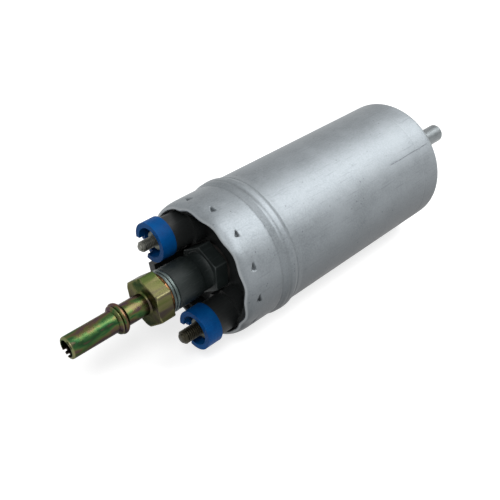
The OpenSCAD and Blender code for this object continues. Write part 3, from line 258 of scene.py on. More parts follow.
def clock_angle(tree, parts):
    """The clock angle round the pump's axis, from the top."""
    return maths(tree, "ARCTAN2", parts["Y"], parts["Z"])


def off_station(tree, parts, station):
    """How far the surface lies from a station along X, in metres."""
    return maths(tree, "ABSOLUTE", maths(tree, "SUBTRACT", parts["X"], (station - LIP_PLANE) / 1000))


def spread(tree, value, low, high, to_low=0.0, to_high=1.0):
    """A value carried from the range low to high into the range to_low to to_high."""
    feeds = {"Value": value, "From Min": low, "From Max": high, "To Min": to_low, "To Max": to_high}
    return node(tree, "MapRange", feeds).outputs["Result"]


def blended(tree, share, first, second):
    """Two colours mixed by a share from 0 to 1."""
    return node(tree, "Mix", {"Factor": share, 6: first, 7: second}, data_type="RGBA").outputs[2]


def tone(red, green, blue):
    """The linear colour of a screen colour given from 0 to 255."""
    screen = np.array([red, green, blue]) / 255.0
    linear = np.where(screen <= 0.04045, screen / 12.92, ((screen + 0.055) / 1.055) ** 2.4)
    return (*linear.tolist(), 1.0)


def layered(tree, colour, *layers):
    """Screen colours laid over a first colour in turn, each by a mask from 0 to 1."""
    for mask, cover in layers:
        colour = blended(tree, mask, colour, tone(*cover))
    return colour


def marked(tree, name):
    """The values that one of a piece's own marks gives its points."""
    return node(tree, "Attribute", attribute_name=name).outputs["Fac"]


def new_group(name, **inputs):
    """An empty shader group, and its float inputs, given with their usual values."""
    group = bpy.data.node_groups.new(name, "ShaderNodeTree")
    for label, value in inputs.items():
        socket = group.interface.new_socket(label, in_out="INPUT", socket_type="NodeSocketFloat")
        socket.default_value = value
    return group, group.nodes.new("NodeGroupInput").outputs


def finished(group, **results):
    """The group with a named output for each result."""
    for label in results:
        group.interface.new_socket(label, in_out="OUTPUT", socket_type="NodeSocketFloat")
    leave = group.nodes.new("NodeGroupOutput")
    for label, socket in results.items():
        group.links.new(socket, leave.inputs[label])
    return group


def grouped(tree, group, **inputs):
    """The outputs of a shader group in a material."""
    return node(tree, "Group", inputs, node_tree=group).outputs


def noise(tree, place, scale, detail, **settings):
    """Noise from 0 to 1 at a place, with about as many swells to a metre as its scale says."""
    feeds = {"Vector": place, "Scale": scale, "Detail": detail, **settings}
    return node(tree, "TexNoise", feeds).outputs["Fac"]


def drawn_out(tree, share):
    """The surface's place with X cut to a share, so that a pattern on it runs along the pump's axis."""
    feeds = {"Vector": object_place(tree), "Scale": (share, 1.0, 1.0)}
    return node(tree, "Mapping", feeds).outputs["Vector"]


def worked_surface_group():
    """Masks from 0 to 1 on object coordinates: soft clouds, even grain, fine lines along the pump's
    axis, and scattered specks. Size is the number of clouds to a metre."""
    group, given = new_group("worked_surface", Size=90.0)
    place, size = object_place(group), given["Size"]
    clouds = noise(group, place, size, 5.0, Roughness=0.6)
    grain = noise(group, place, times(group, size, 22.0), 3.0, Roughness=0.65)
    lines = noise(group, drawn_out(group, 0.045), times(group, size, 30.0), 2.0)
    spots = node(group, "TexVoronoi", {"Vector": place, "Scale": times(group, size, 7.0)})
    near = spread(group, spots.outputs["Distance"], 0.20, 0.08)
    some = spread(group, noise(group, place, times(group, size, 3.0), 2.0), 0.56, 0.66)
    return finished(group, Clouds=spread(group, clouds, 0.32, 0.68), Grain=spread(group, grain, 0.25, 0.75),
                    Lines=spread(group, lines, 0.60, 0.72), Specks=times(group, near, some))


WORKED_SURFACE = worked_surface_group()


def new_material(name, metallic, **sockets):
    """A material with its own constants set on the shader."""
    material = bpy.data.materials.new(name)
    material.use_nodes = True
    tree = material.node_tree
    shader = tree.nodes["Principled BSDF"]
    shader.inputs["Metallic"].default_value = metallic
    for label, value in sockets.items():
        shader.inputs[label.replace("_", " ")].default_value = value
    return material, tree, shader


def painted(tree, shader, colour, roughness, height, relief, strength=1.0):
    """Feeds a shader its colour, its roughness, and a relief given in thousandths of a millimetre."""
    bump = node(tree, "Bump", {"Height": height, "Distance": relief / 1e6, "Strength": strength})
    feeds = {"Base Color": colour, "Roughness": roughness, "Normal": bump.outputs["Normal"]}
    for label, socket in feeds.items():
        tree.links.new(socket, shader.inputs[label])


def painted_underside_shade_group():
    """A mask of painted shade on the low side, from 0 to a share, as the clock angle from the top goes from
    one angle to another.
    """
    group, given = new_group("painted_underside_shade", From=0.9, To=2.3, Share=0.6)
    turn = maths(group, "ABSOLUTE", clock_angle(group, object_parts(group)))
    under = spread(group, turn, given["From"], given["To"])
    return finished(group, Under=times(group, under, given["Share"]))


PAINTED_UNDERSIDE_SHADE = painted_underside_shade_group()


def can_metal():
    """Drawn and washed aluminium: pale patches on grey, a fine grain, dark specks, faint lines along
    the draw and one long dark scratch near the closed end. Painted shade darkens the low side, the
    bead's grooves and each notch, and a painted highlight pales the lip's rim."""
    material, tree, shader = new_material("washed_aluminium", 0.88, Specular_IOR_Level=0.4)
    masks = grouped(tree, WORKED_SURFACE, Size=70.0)
    parts = object_parts(tree)

    scratch_start, scratch_stop, scratch_turn = 81.5, 107.0, math.radians(-49.0)
    wander = spread(tree, noise(tree, object_place(tree), 160.0, 2.0), 0.0, 1.0, -0.012, 0.012)
    off_turn = maths(tree, "SUBTRACT", clock_angle(tree, parts), scratch_turn)
    off_line = maths(tree, "ADD", off_turn, wander)
    beside = spread(tree, maths(tree, "ABSOLUTE", off_line), 0.004, 0.012, 1.0, 0.0)
    along = off_station(tree, parts, (scratch_start + scratch_stop) / 2)
    scratch = times(tree, beside, spread(tree, along, 0.0115, 0.0128, 1.0, 0.0))
    broken = times(tree, scratch, spread(tree, masks["Grain"], 0.3, 0.6, 0.35, 1.0))

    patchy = spread(tree, masks["Clouds"], 0.2, 0.8, 0.15, 1.0)
    # Painted shade in the bead's three grooves, broken up in patches.
    grooves = []
    for station, half_width, share in ((14.8, 0.3, 0.15), (17.8, 1.2, 0.55), (22.05, 0.35, 0.25)):
        near = spread(tree, off_station(tree, parts, station), 0.0, half_width / 1000, share, 0.0)
        grooves.append((times(tree, near, patchy), (58, 62, 64)))

    colour = layered(
        tree, blended(tree, masks["Clouds"], tone(112, 118, 122), tone(134, 140, 144)),
        (spread(tree, masks["Grain"], 0.2, 0.8, 0.0, 0.35), (150, 155, 158)),
        (times(tree, masks["Lines"], 0.32), (92, 98, 104)),
        (times(tree, masks["Specks"], 0.55), (80, 84, 90)),
        (times(tree, broken, 0.75), (70, 74, 80)),
        # Painted shade, darker towards the bottom, in two steps by the clock angle.
        (grouped(tree, PAINTED_UNDERSIDE_SHADE, From=0.90, To=2.30, Share=0.60)["Under"], (60, 62, 64)),
        (grouped(tree, PAINTED_UNDERSIDE_SHADE, From=1.30, To=2.00, Share=0.55)["Under"], (26, 28, 30)),
        *grooves,
        # A painted highlight on the lip's rim and painted shade in each notch.
        (times(tree, marked(tree, "rim"), 0.35), (176, 180, 182)),
        (times(tree, marked(tree, "notch"), 0.45), (40, 44, 47)),
    )
    rough = spread(tree, masks["Clouds"], 0.0, 1.0, 0.46, 0.56)
    rougher = maths(tree, "ADD", rough, times(tree, masks["Specks"], 0.15))
    height = maths(tree, "ADD", masks["Grain"], times(tree, masks["Clouds"], 1.6))
    cut = times(tree, maths(tree, "ADD", masks["Lines"], masks["Specks"]), 0.7)
    painted(tree, shader, colour, rougher, maths(tree, "SUBTRACT", height, cut), 22, 0.8)
    return material


can_points, notch_shade, rim_highlight = can_surface()
can = new_piece("drawn_can", [(can_points, True)], notch=notch_shade, rim=rim_highlight)
fitted(can, "can_aluminium", can_metal(), "casing")

# The inlet tube. Aluminium tube pushed out through the closed end from inside, where its flange
# bears on the can. Its mouth is rounded so that a hose slides on.


def eased(corners, size, ring=True):
    """A section with rounded corners. Each corner gives way to a curve that starts and ends one size
    away from it, or 0.45 of the shorter side: the squares of two shares weigh its ends, and twice
    their product weighs the corner."""
    corners = np.asarray(corners, float)
    before = np.roll(corners, 1, axis=0) - corners
    after = np.roll(corners, -1, axis=0) - corners
    long_before = np.linalg.norm(before, axis=1, keepdims=True)
    long_after = np.linalg.norm(after, axis=1, keepdims=True)
    cut = np.minimum(size, 0.45 * np.minimum(long_before, long_after))
    start = corners + before / long_before * cut
    stop = corners + after / long_after * cut
    t = np.linspace(0.0, 1.0, 5)[None, :, None]
    curve = (1 - t) ** 2 * start[:, None] + 2 * t * (1 - t) * corners[:, None] + t ** 2 * stop[:, None]
    if ring:
        return curve.reshape(-1, 2)
    return np.concatenate([corners[:1], curve[1:-1].reshape(-1, 2), corners[-1:]])


def turned(section, columns=96, aside=(0.0, 0.0)):
    """Rows are the section's points, a station and a radius each, turned round a line along X."""
    return on_axis(section[:, :1], section[:, 1:], round_the_clock(columns), aside)


def worn(name, metallic, rough, dark, light, mark, size, relief=20, lines=0.3, specks=0.3, **sockets):
    """A finish in two near tones: clouds and grain between them, fine lines and specks in the colour of
    a mark, roughness that follows the clouds, and relief from the grain, lines and specks."""
    material, tree, shader = new_material(name, metallic, **sockets)
    masks = grouped(tree, WORKED_SURFACE, Size=size)
    share = maths(tree, "ADD", times(tree, masks["Clouds"], 0.65), times(tree, masks["Grain"], 0.35))
    line_share, speck_share = times(tree, masks["Lines"], lines), times(tree, masks["Specks"], specks)
    base = blended(tree, share, tone(*dark), tone(*light))
    colour = layered(tree, base, (line_share, mark), (speck_share, mark))
    roughness = spread(tree, share, 0.0, 1.0, rough - 0.05, rough + 0.07)
    height = maths(tree, "SUBTRACT", masks["Grain"], maths(tree, "ADD", line_share, speck_share))
    painted(tree, shader, colour, roughness, height, relief)
    return material


TUBE_METAL = worn("tube_aluminium", 0.9, 0.36, (90, 96, 98), (122, 127, 129), (66, 70, 74), 160.0)
inlet_section = eased([
    (106.85, 3.0), (106.85, 6.5), (108.45, 6.5), (108.45, 4.3), (110.98, 4.3), (111.05, 4.0),
    (146.0, 4.0), (146.0, 3.0),
], 0.75)
inlet = new_piece("inlet_pipe", [(turned(inlet_section), True)])
fitted(inlet, "tube_aluminium", TUBE_METAL, "inlet_tube")

# The inlet strainer and the rubber rings. The strainer is a moulded cage over the tube's flange.
# The O-rings lie in grooves of the cover and of the inlet side plate, and seal them to the can.


def dressed(material, *names):
    """Gives CAD nodes that are shown as they are their material."""
    for name in names:
        data = nodes[name].data
        data.materials.clear()
        data.materials.append(material)


dressed(worn("strainer_plastic", 0.0, 0.5, (206, 202, 184), (226, 223, 208), (170, 160, 130),
             140.0, 10, 0.1, 0.2), "inlet_strainer")
dressed(worn("black_rubber", 0.0, 0.62, (17, 17, 18), (30, 30, 31), (52, 52, 54), 200.0, 20, 0.1, 0.5),
        "rear_o_ring", "front_o_ring", "stud_seal_thin", "stud_seal_thick", "valve_seal")

# The outlet cover. Black glass-filled moulding: front disc with its rim, a tower for each stud,
# a locating lug, and behind them the skirt around the brush bay. The can's lip holds it.


def softened(name, source, width):
    """A copy of a node's mesh, whose edges are rounded by a Bevel of a width in millimetres."""
    mesh = nodes[source].data.copy()
    mesh.name = name
    if "custom_normal" in mesh.attributes:
        mesh.attributes.remove(mesh.attributes["custom_normal"])
    piece = cleaned(name, mesh, SHARP, join_flat=True)
    edge = piece.modifiers.new("soft_edge", "BEVEL")
    edge.width = width / 1000.0
    edge.segments = 3
    edge.limit_method = "ANGLE"
    edge.angle_limit = math.radians(35.0)
    edge.harden_normals = False
    return piece


COVER_PLASTIC = worn("black_moulding", 0.0, 0.52, (13, 15, 15), (26, 29, 29), (56, 59, 60),
                     110.0, 30, 0.25, 0.25, Specular_IOR_Level=0.32)
cover = softened("moulded_cover", "outlet_cover", 0.35)
fitted(cover, "cover_plastic", COVER_PLASTIC, "outlet_cover")

# The terminal cups. Royal blue moulded rings on the towers keep the two terminals apart. A stepped
# gap in each lets the tail of a ring terminal out, and washer and nut clamp its floor.
CUP_PLASTIC = worn("blue_moulding", 0.0, 0.46, (0, 50, 104), (0, 80, 142), (14, 96, 166),
                   120.0, 15, 0.12, 0.18, Specular_IOR_Level=0.06)
for size_name in ("thin", "thick"):
    cup = softened("blue_cup_" + size_name, "terminal_cup_" + size_name, 0.4)
    fitted(cup, "cup_plastic", CUP_PLASTIC, "terminal_cup_" + size_name)

# The terminal studs. Plated steel studs of two thicknesses, so that the leads can't be swapped.
# Each has a rolled thread, a dog point in front and a round head behind the cover's disc.
TOWER_OFF = 17.0
TOWER_CLOCK = math.radians(TOWER_DEGREES)
THIN_SIDE = (TOWER_OFF * math.sin(TOWER_CLOCK), TOWER_OFF * math.cos(TOWER_CLOCK))
THICK_SIDE = (-THIN_SIDE[0], -THIN_SIDE[1])
THIN_NUT_FRONT, THICK_NUT_FRONT = -10.8, -11.5


def threaded(radius, tip, nut_front, pitch, aside):
    """A stud as rows along its length and columns round it. The thread's radius falls from crest to
    root and back once per pitch, and moves on by one pitch in a turn. It runs out at both ends."""
    lead = tip + 0.6
    neck = radius - 0.2
    head_front, head_back, head_radius = 16.9, 18.9, 3.6
    point = profile([tip, tip, tip + 0.12, lead - 0.05, lead, lead, lead + 0.1],
                    radius - np.array([radius - 0.25, 1.0, 0.82, 0.72, 0.6, 0.45, 0.28]))
    thread = profile(np.arange(lead + 0.35, nut_front + 0.6, pitch / 12.0), radius)
    head = eased([(16.0, neck), (head_front, neck), (head_front, head_radius), (head_back, head_radius),
                  (head_back, 0.2)], 0.25, ring=False)
    section = np.concatenate([point, thread, [[nut_front + 0.9, neck]], head])
    clock = round_the_clock(48)
    station = section[:, :1]
    phase = (station / pitch - clock / (2.0 * np.pi)) % 1.0
    tooth = np.abs(2.0 * phase - 1.0)
    cut = 0.62 * pitch * (1.0 - smooth(tooth, 0.10, 0.78))
    run_in = smooth(station, lead + 0.2, lead + 0.8)
    run_out = smooth(station, nut_front - 0.5, nut_front + 0.3)
    inside = run_in * (1.0 - run_out)
    worn_crest = 0.02 * np.sin(station * 3.1) * inside
    return on_axis(station, section[:, 1:] - inside * cut - worn_crest, clock, aside)


LIGHT_PLATING = worn("pale_zinc", 0.85, 0.38, (72, 74, 70), (122, 122, 114), (36, 36, 32),
                     260.0, 20, 0.2, 0.5)
DARK_PLATING = worn("dull_zinc", 0.82, 0.42, (28, 27, 20), (60, 57, 44), (22, 20, 15), 260.0, 20, 0.2, 0.55)
thin_stud = new_piece("thin_stud", [(threaded(2.0, -17.6, THIN_NUT_FRONT, 0.7, THIN_SIDE), False)])
fitted(thin_stud, "stud_plating_light", LIGHT_PLATING, "terminal_stud_thin")
thick_stud = new_piece("thick_stud", [(threaded(2.5, -19.9, THICK_NUT_FRONT, 0.8, THICK_SIDE), False)])
fitted(thick_stud, "stud_plating_dark", DARK_PLATING, "terminal_stud_thick")

# The terminal nuts and washers. Thin plated nuts pull each stud against its cup; the flat washers
# under them spread the load on the cup's floor.
HEXAGON_SHARP = math.radians(50.0)


def hexed(section, flats, turn, round_over, front, back, aside=(0.0, 0.0)):
    """A turned section cut by a hexagonal bar. At each clock angle the radius is the smaller, taken
    softly, of the section's own and of the hexagon's: half its width over the cosine of the angle
    from the flat's middle. The bar's ends are rounded over. Columns crowd towards the corners. The
    second result is 1 on the hexagon's edges and fades to 0 beside them."""
    per_side, blunt_by, soft = 22, 0.12, 0.05
    one_side = 30.0 + 30.0 * np.sin(0.5 * np.pi * np.linspace(-1.0, 1.0, per_side, endpoint=False))
    clock = np.radians(turn + (one_side[None, :] + 60.0 * np.arange(6)[:, None]).reshape(1, -1))
    station, own = section[:, :1], section[:, 1:]
    off_middle = np.radians(np.abs((np.degrees(clock) - turn) % 60.0 - 30.0))
    blunt = blunt_by * (1.0 - smooth(np.radians(30.0) - off_middle, 0.0, 0.05))
    bar = np.minimum(flats / 2.0 / np.cos(off_middle), flats / math.sqrt(3.0) - blunt)
    near_end = np.maximum(front + round_over - station, station - back + round_over) / round_over
    bar = bar - round_over * (1.0 - np.sqrt(1.0 - np.clip(near_end, 0.0, 1.0) ** 2))
    radius = -soft * np.logaddexp(-own / soft, -bar / soft)
    by_corner = np.exp(-((30.0 - np.degrees(off_middle)) / 1.6) ** 2) * (own > bar - 0.3)
    by_cut = np.exp(-((own - bar) / 0.22) ** 2)
    on_bar = (station > front - 0.01) & (station < back + 0.01)
    return on_axis(station, radius, clock, aside), np.where(on_bar, np.maximum(by_corner, by_cut), 0.0)


def finer(section, longest, low=-1e3, high=1e3):
    """A closed section whose sides between two stations have no step longer than a given one."""
    section = np.asarray(section, float)
    following = np.roll(section, -1, axis=0)
    ends = np.stack([section[:, 0], following[:, 0]])
    inside = ((ends >= low) & (ends <= high)).all(axis=0)
    steps = np.ceil(np.linalg.norm(following - section, axis=1) / longest)
    count = np.where(inside, steps, 1).astype(int).clip(1)
    sides = zip(section, following, count)
    return np.concatenate([a + (b - a) * np.arange(n)[:, None] / n for a, b, n in sides])


def nut_piece(name, bore, flats, front, back, turn, aside):
    """A hexagon nut: bore, front face, a turned-off corner, the flats and the back face, as one ring."""
    corner = flats / math.sqrt(3.0)
    section = [
        (front + 0.35, bore), (front, bore + 0.35), (front, corner - 0.4), (front + 0.23, corner),
        (front + 0.4, corner + 0.3), (back - 0.05, corner + 0.3), (back, corner), (back, bore),
    ]
    points = hexed(finer(section, 0.11), flats, turn, 0.16, front, back, aside)[0]
    return new_piece(name, [(points, True)], HEXAGON_SHARP)


def flat_washer(name, bore, outer, front, back, aside):
    """A flat ring with rounded edges."""
    section = eased([(front, bore), (front, outer), (back, outer), (back, bore)], 0.16)
    return new_piece(name, [(turned(section, 72, aside), True)])


NUT_PLATING = worn("nut_plating", 0.85, 0.40, (60, 64, 58), (104, 107, 98), (38, 37, 30),
                   240.0, 20, 0.25, 0.5)
THIN_NUT_BACK, THICK_NUT_BACK = -8.6, -8.8
WASHER_RADIUS, WASHER_HEIGHT = 4.8, 0.6
for size_name, bore, flats, front, back, turn, side in (
    ("thin", 1.85, 7.0, THIN_NUT_FRONT, THIN_NUT_BACK, 21.0, THIN_SIDE),
    ("thick", 2.35, 8.0, THICK_NUT_FRONT, THICK_NUT_BACK, 36.0, THICK_SIDE),
):
    nut = nut_piece(size_name + "_nut", bore, flats, front, back, turn, side)
    fitted(nut, "nut_plating", NUT_PLATING, "terminal_nut_" + size_name)
for size_name, bore, front, side in (
    ("thin", 2.05, THIN_NUT_BACK, THIN_SIDE), ("thick", 2.55, THICK_NUT_BACK, THICK_SIDE),
):
    back = front + WASHER_HEIGHT
    washer = flat_washer(size_name + "_stud_washer", bore, WASHER_RADIUS, front, back, side)
    fitted(washer, "nut_plating", NUT_PLATING, "terminal_washer_" + size_name)

# The check valve body. Steel, turned and milled from hexagon bar and blackened: a round front, a neck,
# a hexagon in the cover's recess, and a thread through the cover. A fibre gasket lies under it.


def rubbed_and_glinting_edges_group():
    """A mask from a piece's own edges mark, up to a share: wear along the edges and a painted highlight on
    them.
    """
    group, given = new_group("rubbed_and_glinting_edges", Share=0.4)
    return finished(group, Rubbed=times(group, marked(group, "edges"), given["Share"]))


RUBBED_AND_GLINTING_EDGES = rubbed_and_glinting_edges_group()


def laid_over(material, mask, colour):
    """Lays a screen colour over a material's own, by a mask from 0 to 1."""
    tree = material.node_tree
    socket = tree.nodes["Principled BSDF"].inputs["Base Color"]
    tree.links.new(layered(tree, socket.links[0].from_socket, (mask, colour)), socket)


def blackened_steel():
    """Blue-black oxide: nearly black slate with a dull gloss, paler along the edges from wear and a painted
    highlight.
    """
    material = worn("black_oxide", 0.2, 0.48, (23, 29, 29), (37, 44, 43), (78, 85, 85),
                    130.0, 30, 0.35, 0.35, Specular_IOR_Level=0.35)
    edge_wear_and_glint = grouped(material.node_tree, RUBBED_AND_GLINTING_EDGES, Share=0.40)["Rubbed"]
    # Paler along the edges: wear and a painted highlight.
    laid_over(material, edge_wear_and_glint, (92, 99, 98))
    return material


ACROSS_FLATS = 17.0
valve_section = finer([
    (-16.0, 6.0), (-16.0, 7.4), (-15.85, 7.74), (-15.5, 7.9), (-5.6, 7.9), (-5.45, 7.83), (-5.1, 7.3),
    (-5.0, 7.2), (-0.62, 7.2), (-0.5, 7.32), (-0.5, 9.32), (-0.2, 9.85), (0.0, 10.2), (4.9, 10.2),
    (5.0, 9.9), (5.0, 5.95), (14.8, 5.95), (15.0, 5.75), (15.0, 2.6), (9.5, 2.6), (9.5, 3.4),
    (10.0, 3.4), (10.0, 4.6), (-8.0, 4.6), (-8.0, 6.0),
], 0.14, -0.6, 5.1)
valve_points, valve_edges = hexed(valve_section, ACROSS_FLATS, 4.0, 0.2, -0.5, 5.0)
valve_body = new_piece("valve_body", [(valve_points, True)], HEXAGON_SHARP, edges=valve_edges)
fitted(valve_body, "blackened_steel", blackened_steel(), "check_valve_body")
dressed(worn("dark_fibre", 0.0, 0.7, (34, 31, 29), (52, 47, 43), (24, 21, 19), 320.0, 30, 0.4, 0.2),
        "valve_gasket", "thrust_washer_front", "thrust_washer_rear")

# The sealing washers. Two soft grey metal rings, one on the other, which the fitting's collar
# presses onto the valve body's front face.
WASHER_METAL = worn("washer_metal", 0.9, 0.34, (60, 70, 68), (104, 114, 112), (34, 40, 42),
                    200.0, 25, 0.35, 0.5)
for place_name, front in (("front", -18.65), ("rear", -17.31)):
    back = front + 1.3
    seal_section = eased([(front, 6.1), (front, 8.0), (back, 8.0), (back, 6.1)], 0.5)
    seal_ring = new_piece("seal_ring_" + place_name, [(turned(seal_section, 110), True)])
    fitted(seal_ring, "washer_metal", WASHER_METAL, "sealing_washer_" + place_name)

# The outlet fitting. Turned steel with a hexagon and a round collar, plated in zinc and passivated
# yellow. The outlet tube is brazed into it, and its thread closes the check valve's body.


def passivate_film_group():
    """A value from 0 to 1 that stands for the film's thickness on yellow zinc: it swings with the clock
    angle round the pump's axis, drifts in long streaks, and breaks up in small patches."""
    group, given = new_group("passivate_film", Rounds=2.0, Turn=0.0, Swing=0.3, Patches=0.5)
    rounds = times(group, clock_angle(group, object_parts(group)), given["Rounds"])
    wave = maths(group, "SINE", maths(group, "ADD", rounds, given["Turn"]))
    streaks = noise(group, drawn_out(group, 0.09), 420.0, 3.0, Roughness=0.5)
    patches = noise(group, drawn_out(group, 0.4), 230.0, 3.0, Distortion=0.6)
    uneven = times(group, spread(group, patches, 0.3, 0.7, -0.5, 0.5), given["Patches"])
    swing = maths(group, "ADD", times(group, wave, given["Swing"]), 0.5)
    lined = maths(group, "ADD", maths(group, "ADD", swing, uneven),
                  spread(group, streaks, 0.3, 0.7, -0.22, 0.22))
    return finished(group, Film=maths(group, "MAXIMUM", maths(group, "MINIMUM", lined, 1.0), 0.0),
                    Streaks=spread(group, streaks, 0.35, 0.65))


PASSIVATE_FILM = passivate_film_group()


def yellow_zinc(name, film_set, rough, peach, *stops):
    """Passivated zinc: the film's thickness runs through a row of colours, each given with its place.
    The film is thinnest, and peach in colour, over one stretch along the axis; painted shade darkens
    it below, and its edges are paler from wear and a painted highlight."""
    material, tree, shader = new_material(name, 1.0, Specular_Tint=(0.58, 0.57, 0.56, 1.0))
    film = grouped(tree, PASSIVATE_FILM, **film_set)
    ramp = node(tree, "ValToRGB", {"Fac": film["Film"]})
    elements = ramp.color_ramp.elements
    while len(elements) < len(stops):
        elements.new(0.5)
    for element, (place, film_tone) in zip(elements, stops):
        element.position = place
        element.color = tone(*film_tone)
    masks = grouped(tree, WORKED_SURFACE, Size=200.0)
    middle, half_length, share, *peach_tone = peach
    nearest, farthest = (half_length - 0.15) / 1000, (half_length + 0.15) / 1000
    beside = spread(tree, off_station(tree, object_parts(tree), middle), nearest, farthest, share, 0.0)
    colour = layered(
        tree, ramp.outputs["Color"], (beside, peach_tone),
        (times(tree, masks["Specks"], 0.5), (60, 48, 30)),
        # Painted shade, darker towards the bottom.
        (grouped(tree, PAINTED_UNDERSIDE_SHADE, From=1.10, To=1.95, Share=0.70)["Under"], (16, 18, 12)),
        # Paler along the marked edges: wear and a painted highlight.
        (grouped(tree, RUBBED_AND_GLINTING_EDGES, Share=0.40)["Rubbed"], (150, 146, 106)),
    )
    roughness = spread(tree, film["Streaks"], 0.0, 1.0, rough - 0.05, rough + 0.08)
    height = maths(tree, "SUBTRACT", masks["Grain"], masks["Specks"])
    painted(tree, shader, colour, roughness, height, 12)
    return material


FITTING_ZINC = yellow_zinc(
    "yellow_zinc_fitting", {"Rounds": 2.0, "Turn": 1.0, "Swing": 0.24, "Patches": 0.30}, 0.34,
    (-14.75, 5.0, 0.8, 150, 104, 68),
    (0.0, (58, 51, 54)), (0.2, (72, 64, 56)), (0.4, (92, 90, 60)), (0.6, (80, 84, 48)),
    (0.8, (52, 66, 32)), (1.0, (34, 54, 28)),
)
fitting_section = finer([
    (-13.75, 4.05), (-26.5, 4.05), (-26.5, 4.25), (-26.42, 4.4), (-26.15, 4.48), (-25.9, 4.7),
    (-25.9, 8.92), (-25.38, 9.815), (-25.0, 10.2), (-20.0, 10.2), (-19.8, 9.4), (-19.8, 8.45),
    (-19.65, 8.2), (-18.95, 8.2), (-18.75, 8.05), (-18.75, 5.95), (-9.5, 5.95), (-9.3, 5.75),
    (-9.3, 4.4), (-10.8, 3.0), (-13.75, 3.0),
], 0.16, -26.0, -19.7)
fitting_points, fitting_edges = hexed(fitting_section, ACROSS_FLATS, 10.3, 0.22, -25.9, -19.8)
fitting = new_piece("hexagon_fitting", [(fitting_points, True)], HEXAGON_SHARP, edges=fitting_edges)
fitted(fitting, "yellow_zinc", FITTING_ZINC, "outlet_fitting")

# The outlet tube. Yellow zinc plated steel tube, brazed into the fitting, with a rolled bead that
# holds the hose. Two pairs of small slots in its tip leave a bent-in tab between them.


def outlet_surface():
    """Rows along the tube's section, columns round the clock. The hose bead's height is 1 less the
    2.4th power of the distance from its crown, eased into the tube behind, with a fold pressed into
    its front. At each pair of slots the tip is moved back, by the slot's depth or less on the tab
    between; the upper pair leaves the wall's inner and outer edge. The other result is 1 on the nose
    and a half on the bead's crown, where a hose rubs: the material lays wear and a painted highlight there."""
    tip, outer, bore = -56.5, 4.0, 3.0
    bead_middle, bead_half, bead_rise = -36.7, 2.05, 1.6
    fold, fold_depth, fold_width = -37.42, 0.60, 0.25
    slot_depth, tab_depth, tab_half, slot_far, easing, far = 1.3, 0.35, 0.45, 1.35, 0.03, 9.0

    bead_s = bead_middle - bead_half * np.cos(np.linspace(0.0, np.pi, 61))
    off_crown = (bead_s - bead_middle) / bead_half
    fullness = np.where(off_crown > 0.0, 1.25, 0.9)
    bead_r = outer + bead_rise * (1.0 - np.abs(off_crown) ** 2.4) ** fullness
    bead_r = bead_r - fold_depth * np.exp(-((bead_s - fold) / fold_width) ** 2)
    slotted_s = np.linspace(-55.6, -54.6, 8)
    section = np.concatenate([
        [[tip, 3.02], [tip, 3.2]], arc(-55.9, 3.4, -0.6, 0.6, 0.0, 90.0, 7), profile(slotted_s, outer),
        profile([-52.0, -46.0], outer), profile(bead_s, bead_r),
        [[-30.0, outer], [-13.85, outer], [-13.8, outer - 0.05]], profile([-13.8, -30.0, -50.0], bore),
        profile(slotted_s[::-1], bore), [[-56.2, bore]],
    ])
    clock = round_the_clock(420)
    station, radius = section[:, :1], section[:, 1:]
    back = np.zeros_like(radius * clock)
    for pair, inner, reach in ((323.0, 3.3, 3.75), (154.0, 0.0, far)):
        turn = clock - math.radians(pair)
        off = np.where(np.cos(turn) > 0.0, np.abs(radius * np.sin(turn)), far)
        beyond_tab = smooth(off, tab_half - easing, tab_half + easing)
        slot = beyond_tab * (1.0 - smooth(off, slot_far - easing, slot_far + easing))
        cut = (radius > inner) & (radius < reach) & (off < far)
        back = np.maximum(back, np.where(cut, slot_depth * slot + tab_depth * (1.0 - beyond_tab), 0.0))
    # Wear and a painted highlight on the nose and on the bead's crown.
    nose_rub_and_glint = (1.0 - smooth(station, -56.1, -55.8)) * smooth(radius, 3.1, 3.3)
    crown_rub_and_glint = 0.5 * np.exp(-((station + 38.0) / 0.35) ** 2) * smooth(radius, 4.8, 5.2)
    tube_rub_and_glint = np.where(back > 0.1, 0.0, nose_rub_and_glint + crown_rub_and_glint)
    return on_axis(np.maximum(station, tip + back), radius, clock), tube_rub_and_glint


TUBE_ZINC = yellow_zinc(
    "yellow_zinc_tube", {"Rounds": 3.0, "Turn": 3.67, "Swing": 0.15, "Patches": 0.88}, 0.28,
    (-36.2, 0.6, 0.55, 104, 62, 56),
    (0.0, (52, 40, 42)), (0.16, (72, 58, 68)), (0.32, (82, 66, 58)), (0.46, (84, 82, 50)),
    (0.60, (66, 88, 50)), (0.78, (42, 76, 44)), (0.92, (34, 60, 36)), (1.0, (62, 60, 46)),
)
outlet_points, hose_rub_and_glint = outlet_surface()
outlet = new_piece("outlet_pipe", [(outlet_points, True)], edges=hose_rub_and_glint)
fitted(outlet, "yellow_zinc", TUBE_ZINC, "outlet_tube")

# Inside the check valve. A brass disc guides the poppet's steel stem, a rubber seal on its head meets
# the seat, and a spring of drawn wire closes it. The fitting's thread clamps the disc.


